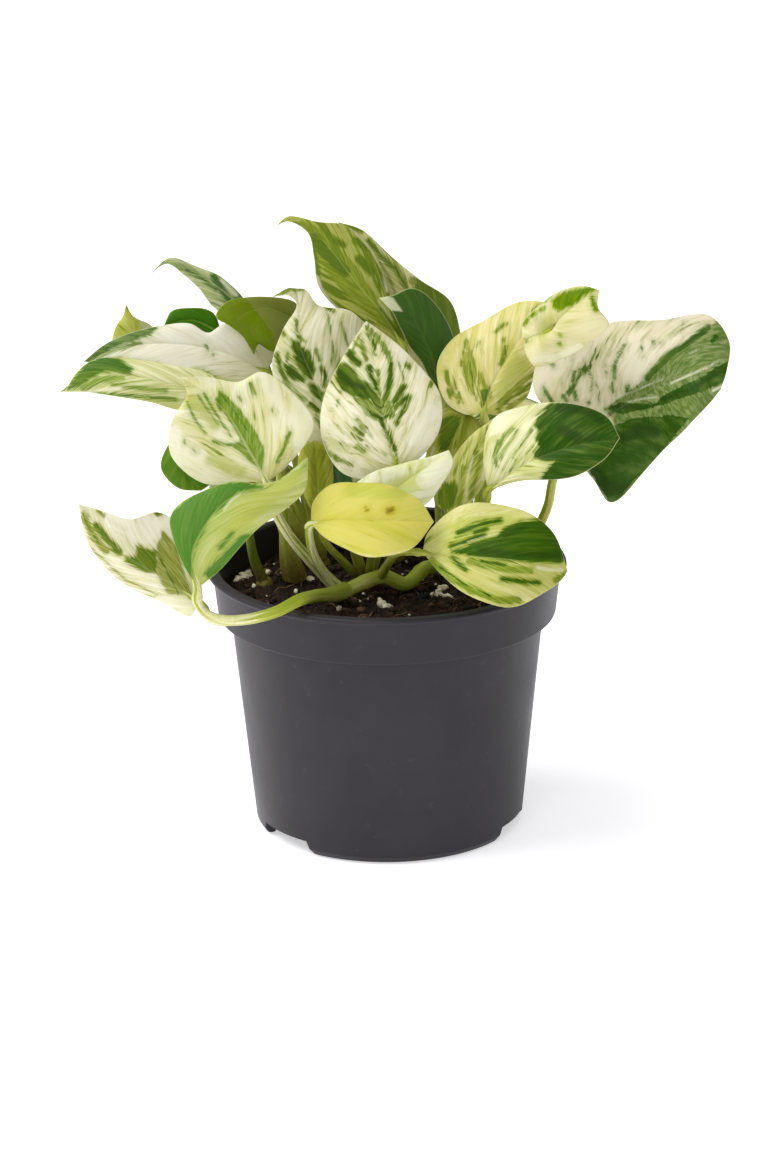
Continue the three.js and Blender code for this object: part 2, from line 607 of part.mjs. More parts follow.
// Middle surface of a blade: rows from base to tip, columns from the left margin to the right.
// grown pushes its margins, base and tip outward.
function bladeSurface(name, grown) {
  const { rib, margins, bow } = bladeCurves(name);
  const columns = 2 * BLADE_HALF_COLUMNS + 1;
  const points = [rib.getPointAt(0).addScaledVector(rib.getTangentAt(0), -grown)];
  for (let row = 1; row < BLADE_ROWS; row += 1) {
    const along = row / BLADE_ROWS;
    const middle = rib.getPointAt(along ** VEIN_FAN);
    const edges = margins.map((margin) => margin.getPointAt(along));
    const up = edges[1].clone().sub(edges[0]).cross(rib.getTangentAt(along ** VEIN_FAN)).normalize();
    for (let column = 0; column < columns; column += 1) {
      const across = column / BLADE_HALF_COLUMNS - 1;
      const half = across < 0 ? 0 : 1;
      const share = Math.abs(across);
      const width = middle.distanceTo(edges[half]);
      const rise = bow[half] * width * 4 * share * (1 - share);
      const reach = share * (1 + grown / width);
      points.push(middle.clone().lerp(edges[half], reach).addScaledVector(up, rise));
    }
  }
  points.push(rib.getPointAt(1).addScaledVector(rib.getTangentAt(1), grown));

  const tip = points.length - 1;
  const lastRow = BLADE_ROWS - 1;
  const at = (row, column) => 1 + (row - 1) * columns + column;
  const triangles = [];
  for (let column = 0; column < columns - 1; column += 1) {
    triangles.push([0, at(1, column + 1), at(1, column)]);
    for (let row = 1; row < lastRow; row += 1) {
      triangles.push([at(row, column), at(row, column + 1), at(row + 1, column + 1)]);
      triangles.push([at(row, column), at(row + 1, column + 1), at(row + 1, column)]);
    }
    triangles.push([at(lastRow, column), at(lastRow, column + 1), tip]);
  }
  const border = [0];
  for (let row = 1; row <= lastRow; row += 1) border.push(at(row, columns - 1));
  border.push(tip);
  for (let row = lastRow; row > 0; row -= 1) border.push(at(row, 0));
  return { points, triangles, border };
}

// Both faces stand off the middle surface alike, with a wall round the margin
function bladeSolid(name, grown = 0) {
  const { points, triangles, border } = bladeSurface(name, grown);
  const middle = indexed(points, triangles);
  middle.computeVertexNormals();
  const normals = middle.getAttribute("normal");
  const offset = BLADE_THICKNESS / 2 + grown;
  const shifted = (distance) => points.map((point, i) => (
    new THREE.Vector3().fromBufferAttribute(normals, i).multiplyScalar(distance).add(point)));
  const count = points.length;
  const faces = [...triangles, ...triangles.map(([a, b, c]) => [a + count, c + count, b + count])];
  border.forEach((from, i) => {
    const to = border[(i + 1) % border.length];
    faces.push([to, from, from + count]);
    faces.push([to, from + count, to + count]);
  });
  return toSolid(indexed([...shifted(offset), ...shifted(-offset)], faces));
}

function roundSection(radius, sides) {
  const corners = [];
  for (let i = 0; i < sides; i += 1) {
    const angle = (2 * Math.PI * i) / sides;
    corners.push(new THREE.Vector2(radius * Math.cos(angle), radius * Math.sin(angle)));
  }
  return new THREE.Shape(corners);
}

function stalkSolid(points, radius) {
  const path = smooth(points);
  const steps = Math.max(2, Math.round(path.getLength() / STEM_STEP));
  const section = roundSection(radius, STEM_SIDES);
  return toSolid(new THREE.ExtrudeGeometry(section, { steps, extrudePath: path, bevelEnabled: false }));
}

function petioleSolid(stalk) {
  const points = stalk.path.map(toVector);
  const base = bladeCurves(stalk.to).rib.getPoint(0);
  const last = points[points.length - 1];
  const stop = base.clone().addScaledVector(base.clone().sub(last).normalize(), -PETIOLE_STOP);
  return stalkSolid([...points, stop], stalk.radius);
}

// A crown is the thick foot of a stem. The soil is cut with the same foot, grown by the gap.
function crownSolid([x, y, top], grown = 0) {
  const foot = STEM_HOLE_FLOOR - grown;
  const head = grown ? POT_HEIGHT : top;
  const section = roundSection(CROWN_RADIUS + grown, CROWN_SIDES);
  const crown = new THREE.ExtrudeGeometry(section, { depth: head - foot, bevelEnabled: false });
  return toSolid(crown.translate(x, y, foot));
}

// One leafy stem: crowns and stalks joined, and cut back by the gap where its blades sit
function stemSolid({ crowns, stalks }) {
  const pieces = crowns.map((crown) => crownSolid(crown));
  for (const stalk of stalks) {
    pieces.push(stalk.to ? petioleSolid(stalk) : stalkSolid(stalk.path.map(toVector), stalk.radius));
  }
  let stem = pieces.reduce((joined, piece) => joined.add(piece));
  for (const stalk of stalks) {
    if (stalk.to) stem = stem.subtract(bladeSolid(stalk.to, BLADE_SEAT_GAP));
  }
  const bodies = stem.decompose();
  return bodies.reduce((largest, body) => (body.volume() > largest.volume() ? body : largest));
}

function addMesh(group, name, solid, colour, roughness) {
  const material = new THREE.MeshStandardMaterial({ color: colour, roughness, metalness: 0 });
  const mesh = new THREE.Mesh(toGeometry(solid), material);
  mesh.name = name;
  group.add(mesh);
}

const plant = new THREE.Group();
addMesh(plant, "pot", potSolid(), POT_COLOUR, 0.5);

const crowns = Object.values(STEMS).flatMap((stem) => stem.crowns);
const soil = crowns.reduce((rest, crown) => rest.subtract(crownSolid(crown, GAP)), soilSolid());
addMesh(plant, "soil", soil, SOIL_COLOUR, 0.95);

for (const [name, stem] of Object.entries(STEMS)) {
  addMesh(plant, `stem_${name}`, stemSolid(stem), STEM_COLOUR, 0.55);
}
for (const [name, blade] of Object.entries({ ...SEEN_BLADES, ...HIDDEN_BLADES })) {
  addMesh(plant, `leaf_${name}`, bladeSolid(name), blade.colour, 0.45);
}

export default plant;
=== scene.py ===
# Looks of the potted pothos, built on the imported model
import math
import random
from typing import NamedTuple

import bmesh
import bpy
import numpy as np
from mathutils import Matrix, Vector, noise


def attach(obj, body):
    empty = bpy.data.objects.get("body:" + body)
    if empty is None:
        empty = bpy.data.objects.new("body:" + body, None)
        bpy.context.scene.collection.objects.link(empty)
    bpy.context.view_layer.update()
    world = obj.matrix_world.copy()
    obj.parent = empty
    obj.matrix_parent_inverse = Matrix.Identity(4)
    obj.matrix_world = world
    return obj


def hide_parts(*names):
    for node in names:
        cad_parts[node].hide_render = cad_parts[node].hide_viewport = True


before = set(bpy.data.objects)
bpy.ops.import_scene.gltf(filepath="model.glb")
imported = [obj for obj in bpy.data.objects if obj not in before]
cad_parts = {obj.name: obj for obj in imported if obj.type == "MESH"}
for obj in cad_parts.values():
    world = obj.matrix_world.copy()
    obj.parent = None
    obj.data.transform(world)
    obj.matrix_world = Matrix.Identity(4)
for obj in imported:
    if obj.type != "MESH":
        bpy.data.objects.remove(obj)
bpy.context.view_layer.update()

MM = 0.001
FULL_TURN = 2 * math.pi
TINY = 1e-9
# The places of two coordinates in a point
Y = 1
Z = 2

# The view that the blades were read in, in pixels of the photograph and millimetres
VIEW_DISTANCE = 1792
VIEW_ELEVATION = math.radians(18.9)
VIEW_ROLL = math.radians(-0.71)
VIEW_TARGET = (-0.9, 0, 85.8)
VIEW_FOCAL_PX = 5377
VIEW_CENTRE_PX = (384, 576)
VIEW_HEIGHT_PX = 1152
SENSOR_MM = 36
CLIP_RANGE = (0.05, 50)

# Light, in metres and watts
LIGHT_TARGET = (0, 0, 0.1)
KEY_LIGHT = {"place": (-1.1, -0.05, 1.8), "size": 1.8, "power": 40, "tone": (1.0, 0.99, 0.97)}
FRONT_LIGHT = {"place": (-0.2, -1.9, 1.5), "size": 1.4, "power": 12, "tone": (1.0, 0.995, 0.98)}
SKY_COLOUR = (0.985, 0.985, 1.0, 1.0)
SKY_POWER = 0.45
FLOOR_SIZE = 12
FLOOR_GLOW = (0.985, 0.98, 1.0, 1.0)
FLOOR_POWER = 0.5

# From here on lengths are in millimetres, and counts, shares and powers have no unit

# Pot
POT_HEIGHT = 91
RIM_RADIUS = 60
RIM_LIP = 2
BAND_TOP_RADIUS = 57.9
BAND_LOW_RADIUS = 56.4
BAND_LOW = 74.3
WALL_TOP_RADIUS = 52.2
WALL_LOW_RADIUS = 44.8
WALL_LOW = 2.6
FOOT_RADIUS = 42
FOOT_WIDTH = 1.6
FOOT_FLARE = ((1.4, 0.6), (2.1, 1.6))
WALL = 1.4
STEP_DROP = 1.2
STEP_RISE = 2.2
CORNER = 0.6
ROUNDING = 0.45
ROUNDING_STEPS = 3
FLOOR_LOW = 5.6
FLOOR_TOP = 7.2
POT_SIDES = 256
SHARP_ANGLE = math.radians(38)
NOTCH_BEARINGS = (-52.5, 71, 189)
NOTCH_HEIGHT = 5.2
NOTCH_HALF_LOW = 13.6
NOTCH_HALF_TOP = 11.2
NOTCH_DEPTH = 16
NOTCH_INSET = 10
DRAIN_HOLES = 6
DRAIN_HOLE_RADIUS = 3.5
DRAIN_HOLE_SIDES = 32
DRAIN_CIRCLE = 27
DRAIN_REACH = 3

# Soil and the litter on it
SOIL_TOP = 80
SOIL_BUMP = 0.7
SOIL_LUMPS = ((0.28, 3.1, 1.3), (0.9, 7.7, 0.8), (2.3, 1.9, 0.35))
SOIL_SIDES = 180
SOIL_RING_STEP = 0.55
SOIL_GAP = 0.3
LITTER_SEED = 11
CRUMBS = 1500
CRUMB_REACH = 53.5
CRUMB_SMALLEST = 0.35
CRUMB_SPREAD = 1.25
CRUMB_POWER = 2.6
CRUMB_RISE = 0.25
GRITS = 46
GRIT_REACH = 51.5
GRIT_SIZES = (0.3, 0.8)
GRIT_RISE = 0.35
# Perlite larger than CLUSTER_LEAST has crumbled to a cluster of pieces, with sizes, reach and rise as
# shares of its size
CLUSTER_LEAST = 1.4
CLUSTER_PIECES = 7
CLUSTER_SIZES = (0.35, 0.62)
CLUSTER_REACH = 0.75
CLUSTER_RISE = 0.5
CLUSTER_PILE = 0.35
CLUSTER_TALL = 1.1
PERLITE_REACH = 52.5
PERLITE_RISE = 0.8
PERLITE_LEVELS = 2
# Perlite as u, v in pixels of the photograph, and its size
PERLITE_SEEN = ((232, 575, 3.0), (239, 570, 2.2), (228, 580, 2.1), (242, 577, 2.0), (236, 581, 1.8),
                (247, 572, 1.5), (309.5, 579, 2.1), (384, 606, 2.6), (379, 601, 1.8), (389, 603, 1.7),
                (441, 590, 2.2), (447, 594, 1.7), (436, 592, 1.5), (339, 609, 1.2), (283, 574, 1.3),
                (268, 574, 1.2), (254, 586, 1.0), (296, 590, 0.9), (360, 600, 0.9))
FIBRES = 90
FIBRE_REACH = 51
FIBRE_LIMIT = 53
FIBRE_LENGTHS = (3, 9)
FIBRE_BEND = 0.9
FIBRE_WIDTHS = (0.12, 0.24)
FIBRE_TAPER = (1, 1, 1, 1, 1, 0.8, 0.4)
FIBRE_SIDES = 6
FIBRE_RISE = 0.45
FIBRE_ARCH = 0.8
# How a crumb or grain is turned, tilted, stretched along its axes and made uneven
LUMP_TURN = 6.28
LUMP_TILT = 0.5
LUMP_STRETCH = ((0.75, 1.25), (0.65, 1.0), (0.6, 0.9))
LUMP_SWELL = 0.42
LUMP_GRAIN = 1.5
LUMP_SHIFT = 50

# Blades: the grid of their points, and their thickness in the middle and at the margin
ROW_STEP = 0.5
COLUMN_STEP = 0.55
ROW_LIMITS = (50, 140)
HALF_COLUMN_LIMITS = (14, 42)
BLADE_THICKNESS = 0.5
MARGIN_THICKNESS = 0.22
BODY_ENDS = (0.02, 0.98)
BODY_POWER = 0.3
RIB_SAMPLES = 60
# Side veins: how they fan out beside the base, how far apart they are, how far they lean to the tip
# and how the surface swells between them
VEIN_FAN = 1.25
FAN_REACH = 12
FAN_CORE = 2
VEIN_SPACING = 4.4
VEIN_LEAN = 1.4
VEIN_RELIEF = 0.6
QUILT_HEIGHT = 0.15
QUILT_POWER = 0.7
QUILT_PHASE = 0.8
# Waves of the margin, lower where a blade's half is narrow, and folds made of two waves, each given as
# half turns along the blade and radians across a half
WAVE_COUNTS = (2.5, 3.0, 3.5)
WAVE_HEIGHT = 0.55
WAVE_EDGE = 2.2
FOLD_HEIGHT = 0.75
FOLD_WAVES = ((2.3, 2.2), (1.6, 3.1))
NARROW_HALF = 9
# The midrib's groove above and its keel below
GROOVE_DEPTH = 0.32
GROOVE_WIDTH = 0.8
GROOVE_FADE = 0.7
KEEL_DEPTH = 0.45
KEEL_WIDTH = 0.7
KEEL_FADE = 0.85
# The funnel of the small cupped blade, with its throat and size in pixels of the photograph
FUNNEL_THROAT = (545, 327)
FUNNEL_SIZE = (13, 11)
FUNNEL_DEPTH = 2.4
# The kinds of colour marks, and what a point far outside them gets, in pixels
MARK_KINDS = ("deep", "green", "pale", "lime", "dark")
FAR_OFF = -30.0

# Stalks, their crowns and the swellings at their nodes
STALK_SIDES = 16
STALK_STEP = 0.9
CROWN_RADIUS = 3
CROWN_RINGS = 24
CROWN_DROP = 0.4
CROWN_DOME = 3
CROWN_TIP = 0.3
CROWN_SLACK = 0.35
STEM_HOLE_FLOOR = 60
NODE_SPACING = 23
NODE_START = 4
NODE_SWELLING = 0.1
NODE_LENGTH = 1.3
# The start of the midrib that a stalk runs on under: shares of its length and depths below it
UNDER_RIB = ((0.0, 0.5), (0.05, 0.75), (0.11, 0.7), (0.18, 0.55))
MARGIN_AHEAD = 0.02
# A leaf stalk's radius: at its foot, at the swelling below its blade, and at its tip under the midrib
FOOT_SCALE = 1.12
SWELLING = 0.28
SWELLING_BELOW = 3.2
SWELLING_LENGTH = 1.6
SHEATH_HEIGHT = 13
TIP_TAPER = 0.82
# How brown a stalk is near the soil, and how its pattern is shifted from those beside it
BROWN = 0.9
BROWN_POWER = 1.3
BROWN_TOP = 96
BROWN_FADE = 14
RUNNER_BROWN = 0.12
CROWN_SEED = 0.5
STALK_SEED = 1.7
# Where along X the runner turns cream, over what length, and how far
RUNNER_CREAM = (-37, 12, 0.48)

# Colours that all the blades share
STREAK_TINT = "b9b865"
LIME_TINT = "bcc457"
HAIR_TINT = "fdfbf0"
BASE_TINT = "bdbf5e"
DARK_TINT = "10280a"
PALE_TINT = "f8f7e6"
SPECK_TINT = "4c5a2a"
RIB_TINT = "b8c86a"
VEIN_TINT = "e8eec0"
MARGIN_TINT = "e6e9b8"
UNDER_TINT = "c3cf9c"
GLOW_TINT = "d6e070"


class Blade(NamedTuple):
    """A leaf blade. In the view, rib is u, v and depth along Y from base to tip, and left and right
    are the margins between them as u, v. facing is the way that each half looks, and bow is how far
    it arches up, as a share of its width. lean is how far the side veins lean to the tip, and relief
    how far the surface swells between them."""
    rib: tuple
    left: tuple
    right: tuple
    facing: tuple = ()
    bow: tuple = (0.1, 0.1)
    lean: float = VEIN_LEAN
    relief: float = VEIN_RELIEF


class Stalk(NamedTuple):
    """A stalk that runs along its path to a blade, or between two crowns. slim is how much it thins,
    sheath how much wider its foot is, husk how high its foot is dry, and cream how pale it is."""
    to: str
    radius: float
    path: tuple
    slim: float = 0.3
    sheath: float = 0.2
    husk: float = 0
    cream: float = 0


class Look(NamedTuple):
    """A blade's two ground colours, the share of the second, the green that noise draws, the streaks,
    the greens, how far their edges tear, how far deep green fades, and how much the midrib shows."""
    ground: str
    tint: str
    tint_share: float
    cover: float
    streaks: float
    green: str = "84983c"
    deep: str = "3b5610"
    tear: float = 1.0
    fade: float = 0.5
    rib: float = 0.45


# Blades that face the view, in pixels of the photograph, with depths along Y in millimetres
SEEN_BLADES = {
    "top": Blade(
        ((405, 348, 12), (385, 318, 13), (355, 281, 16), (322, 240, 20), (303, 225, 21), (286, 219, 21),
         (276, 226, 20)),
        ((392, 345), (374, 330), (352, 317), (333, 305), (318, 284), (314, 258), (308, 233),
         (288, 221.5)),
        ((408, 341), (394, 311), (387, 285), (372, 250), (347, 226), (318, 222), (288, 216.5)),
        ((-0.35, -0.8, 0.4), (0.35, -0.8, 0.45)), (0.06, 0.08), lean=1.9),
    "top_back": Blade(
        ((448, 398, 22), (427, 335, 27), (392, 268, 30), (338, 222, 32)),
        ((415, 390), (385, 340), (372, 300), (358, 262), (342, 232)),
        ((462, 372), (461, 335), (451, 302), (419, 279), (392, 257), (362, 230)),
        ((-0.2, -0.85, 0.4), (0.4, -0.75, 0.5)), (0.05, 0.1), lean=2.4),
    "dark": Blade(
        ((441, 394, 10), (430, 352, 9), (413, 318, 7), (395, 302, 4), (379, 298, 2)),
        ((432, 382), (421, 361), (407, 342), (392, 312)),
        ((454, 372), (456, 345), (444, 316), (428, 296), (411, 288), (394, 295)),
        ((-0.3, -0.85, 0.3), (0.4, -0.8, 0.35)), (0.05, 0.1)),
    "drip": Blade(
        ((250, 314, 24), (222, 290, 26), (195, 272, 27), (168, 261, 27), (151, 273, 26)),
        ((232, 318), (212, 306), (198, 287), (184, 275), (167, 264)),
        ((244, 299), (222, 278), (200, 268), (170, 258)),
        ((0, -0.8, 0.6), (0, -0.7, 0.7)), (0.05, 0.08), lean=3.0),
    "spike": Blade(
        ((150, 362, 22), (137, 338, 22), (129, 318, 22), (126, 304, 22)),
        ((122, 368), (112, 345), (116, 326), (123, 316)),
        ((165, 352), (156, 331), (147, 323), (133, 316)),
        ((-0.4, -0.8, 0.4), (0.4, -0.8, 0.4)), (0.08, 0.08)),
    "dome": Blade(
        ((222, 334, 23), (192, 320, 23), (164, 325, 21)),
        ((208, 341), (190, 338), (172, 332)),
        ((214, 314), (205, 309), (191, 308), (172, 311)),
        ((0, -0.95, 0.3), (0, -0.8, 0.6)), (0.1, 0.12), relief=0.3),
    "olive": Blade(
        ((300, 322, 18), (268, 308, 15), (241, 318, 9), (245, 338, 6), (254, 355, 5)),
        ((300, 345), (280, 352), (268, 350), (259, 344)),
        ((296, 303), (262, 297), (228, 301), (216, 316), (230, 326), (249, 342)),
        ((0, -0.86, 0.5), (0, -0.84, 0.52)), (0.03, 0.04), relief=0.1),
    "left_upper": Blade(
        ((266, 372, 16), (225, 353, 15), (172, 344, 13), (120, 348, 12), (83, 362, 11)),
        ((255, 392), (215, 388), (165, 375), (120, 364), (98, 363)),
        ((275, 352), (250, 334), (225, 324), (208, 333), (190, 324), (165, 325), (130, 333),
         (104, 345)),
        ((0, -0.85, 0.5), (0, -0.8, 0.6)), (0.08, 0.1), lean=2.2, relief=0.05),
    "left_lower": Blade(
        ((215, 398, -4), (155, 380, -3), (105, 376, -1), (64.5, 392, 2)),
        ((205, 408), (178, 410), (150, 402), (112, 396), (85, 392)),
        ((215, 378), (165, 364), (125, 358), (95, 360), (78, 371)),
        ((0, -0.95, 0.2), (0, -0.7, 0.7)), (0.05, 0.12), lean=3.0),
    "back_left": Blade(
        ((338, 446, -10), (320, 394, -6), (300, 345, -1), (299, 305, 3), (292, 288, 4), (272, 297, 3)),
        ((318, 448), (285, 405), (272, 367), (283, 330), (297, 305), (289, 296)),
        ((355, 440), (380, 398), (376, 345), (352, 312), (318, 305), (304, 289)),
        ((-0.25, -0.85, 0.4), (0.2, -0.85, 0.45)), (0.08, 0.08)),
    "centre": Blade(
        ((396, 466, -28), (384, 420, -22), (377, 375, -15), (366, 321, -8)),
        ((368, 479), (341, 472), (322, 438), (323, 400), (343, 357)),
        ((415, 462), (440, 428), (439, 393), (408, 354), (383, 333)),
        ((-0.15, -0.88, 0.45), (0.2, -0.85, 0.45)), (0.06, 0.08), relief=0.5),
    "front_left": Blade(
        ((267, 482, -38), (247, 447, -34), (227, 414, -32), (203, 391, -33), (181, 377, -36)),
        ((240, 482), (203, 483), (172, 457), (171, 422), (187, 395)),
        ((285, 468), (314, 424), (290, 390), (262, 372), (238, 382), (207, 377)),
        ((-0.3, -0.8, 0.45), (0.1, -0.85, 0.5)), (0.06, 0.08), relief=0.5),
    "low_green": Blade(
        ((215, 420, -20), (193, 448, -22), (186, 472, -24), (201, 491, -26)),
        ((232, 445), (222, 470), (212, 483)),
        ((188, 423), (168, 445), (161, 468), (178, 488)),
        ((0.2, -0.9, 0.4), (-0.3, -0.85, 0.4)), (0.1, 0.1)),
    "striped": Blade(
        ((198, 588, -60), (192, 557, -59), (202, 531, -56), (229, 499, -50), (268, 488, -45),
         (308, 457, -38)),
        ((183, 563), (170, 520), (180, 504), (229, 482), (262, 484), (296, 473)),
        ((219, 571), (252, 534), (290, 505), (305, 490)),
        ((-0.2, -0.8, 0.55), (0.25, -0.75, 0.55)), (0.1, 0.08), lean=2.4, relief=0.15),
    "cup": Blade(
        ((198, 602, -52), (162, 578, -54), (118, 550, -54), (78, 504, -50)),
        ((190, 616), (160, 601), (118, 580), (88, 543)),
        ((192, 556), (178, 524), (158, 512), (130, 519), (97, 509)),
        ((0, -0.95, -0.1), (0, -0.65, 0.75)), (0.05, -0.1), lean=2.4, relief=0.35),
    "yellow": Blade(
        ((311, 523, -44), (350, 520, -50), (395, 521, -52), (434, 522, -49)),
        ((314, 501), (333, 485), (375, 484), (417, 498)),
        ((327, 539), (373, 557), (411, 549)),
        ((0, -0.65, 0.75), (0, -0.75, 0.65)), (0.08, 0.1), lean=1.8, relief=0.25),
    "white": Blade(
        ((380, 503, -36), (405, 482, -34), (430, 465, -32), (449, 450, -31)),
        ((352, 490), (366, 476), (400, 464), (433, 456)),
        ((400, 512), (425, 505), (440, 487), (453, 462)),
        ((0, -0.75, 0.6), (0.2, -0.8, 0.5)), (0.08, 0.08), relief=0.2),
    "right_front": Blade(
        ((423, 552, -48), (470, 557, -57), (520, 561, -60), (567.5, 571, -56)),
        ((428, 533), (452, 511), (485, 503), (522, 510), (554, 534)),
        ((440, 573), (466, 594), (506, 608), (550, 589), (563, 578)),
        ((0, -0.65, 0.75), (0, -0.8, 0.55)), (0.08, 0.1), lean=2.3, relief=0.5),
    "right_mid": Blade(
        ((488, 490, -30), (530, 462, -36), (575, 446, -40), (620, 438, -40)),
        ((484, 460), (493, 419), (522, 407), (569, 403), (606, 416)),
        ((520, 481), (573, 477), (604, 460)),
        ((0, -0.8, 0.55), (0, -0.85, 0.45)), (0.08, 0.1), lean=1.6),
    "streaked": Blade(
        ((452, 516, -27), (462, 480, -24), (478, 447, -20), (491, 421, -17)),
        ((436, 502), (443, 481), (455, 455), (475, 432)),
        ((470, 503), (485, 480), (491, 455), (494, 436)),
        ((-0.3, -0.85, 0.4), (0.3, -0.85, 0.4)), (0.08, 0.08), lean=3.0),
    "cream_right": Blade(
        ((484, 412, -8), (492, 386, -4), (508, 357, 1), (528, 328, 6), (550, 302, 9)),
        ((468, 415), (446, 402), (437, 366), (453, 339), (484, 320), (519, 302)),
        ((497, 415), (525, 400), (535, 372), (546, 340), (553, 318)),
        ((-0.25, -0.8, 0.5), (0.35, -0.8, 0.4)), (0.08, 0.08), lean=1.7),
    "hanging": Blade(
        ((466, 412, -3), (455, 436, -6), (438, 468, -10)),
        ((480, 424), (474, 446), (456, 470)),
        ((446, 408), (431, 432), (427, 458)),
        ((0.2, -0.9, 0.3), (-0.2, -0.9, 0.3)), (0.1, 0.1), lean=3.0),
    "small_cup": Blade(
        ((544, 332, -22), (560, 318, -26), (580, 302, -28), (599, 290, -28)),
        ((526, 341), (521, 327), (540, 305), (563, 290), (584, 286)),
        ((525, 343), (533, 366), (562, 359), (592, 341), (609, 324), (598, 308)),
        ((0, -0.75, 0.65), (0.1, -0.85, 0.5)), (0.1, 0.1), relief=0.2),
    "big_right": Blade(
        ((596, 424, -16), (640, 396, -21), (690, 374, -29), (721, 389, -35)),
        ((560, 418), (534, 390), (545, 350), (614, 322), (660, 320), (708, 315), (729, 341),
         (727, 370)),
        ((578, 455), (595, 481), (608, 502), (616, 501), (640, 477), (665, 450), (690, 424),
         (711, 402)),
        ((0, -0.8, 0.6), (0, -0.95, 0.3)), (0.08, 0.08), lean=0.8, relief=0.3),
    "fill_olive": Blade(
        ((318, 520, -22), (318, 488, -20), (314, 440, -18)),
        ((306, 500), (298, 468), (302, 448)),
        ((330, 500), (333, 470), (328, 448)),
        ((-0.2, -0.95, 0.2), (0.2, -0.95, 0.2)), (0.1, 0.1)),
    "fill_dark": Blade(
        ((345, 505, -14), (339, 482, -13), (331, 458, -12)),
        ((335, 494), (326, 474)),
        ((353, 488), (347, 468)),
        ((-0.2, -0.95, 0.2), (0.2, -0.95, 0.2)), (0.1, 0.1)),
}

# Blades behind the plant, all in millimetres
HIDDEN_BLADES = {
    "back_long_left": Blade(
        ((-52, 34, 138), (-72, 42, 147), (-92, 48, 148), (-110, 50, 136)),
        ((-58, 24, 140), (-76, 27, 143), (-94, 37, 142)),
        ((-56, 50, 142), (-76, 60, 144), (-96, 58, 143))),
    "back_mid_left": Blade(
        ((-26, 36, 120), (-34, 48, 128), (-42, 60, 128), (-48, 70, 118)),
        ((-40, 34, 118), (-52, 46, 122), (-56, 60, 120)),
        ((-14, 42, 118), (-20, 60, 124), (-34, 70, 120))),
    "back_right": Blade(
        ((24, 34, 124), (34, 46, 132), (44, 58, 130), (52, 69, 118)),
        ((14, 44, 124), (20, 60, 128), (38, 70, 122)),
        ((36, 28, 124), (52, 38, 128), (60, 54, 122))),
    "back_high": Blade(
        ((-10, 32, 140), (-14, 42, 152), (-20, 54, 158), (-24, 66, 152)),
        ((-22, 36, 140), (-32, 48, 148), (-32, 62, 150)),
        ((0, 36, 142), (2, 50, 150), (-8, 64, 152))),
    "back_low": Blade(
        ((0, 44, 102), (0, 54, 108), (-2, 63, 106), (-4, 70, 97)),
        ((-12, 46, 100), (-16, 58, 102), (-12, 68, 100)),
        ((10, 46, 100), (13, 58, 102), (7, 68, 100))),
    "back_rim_left": Blade(
        ((-34, 32, 106), (-44, 40, 112), (-53, 48, 108), (-60, 55, 98)),
        ((-42, 26, 106), (-52, 34, 109), (-60, 45, 103)),
        ((-28, 44, 106), (-38, 56, 109), (-50, 62, 103))),
    "back_rim_right": Blade(
        ((18, 40, 104), (26, 50, 110), (34, 58, 107), (40, 64, 97)),
        ((10, 48, 104), (16, 60, 107), (28, 66, 103)),
        ((28, 36, 104), (38, 46, 107), (42, 56, 103))),
}

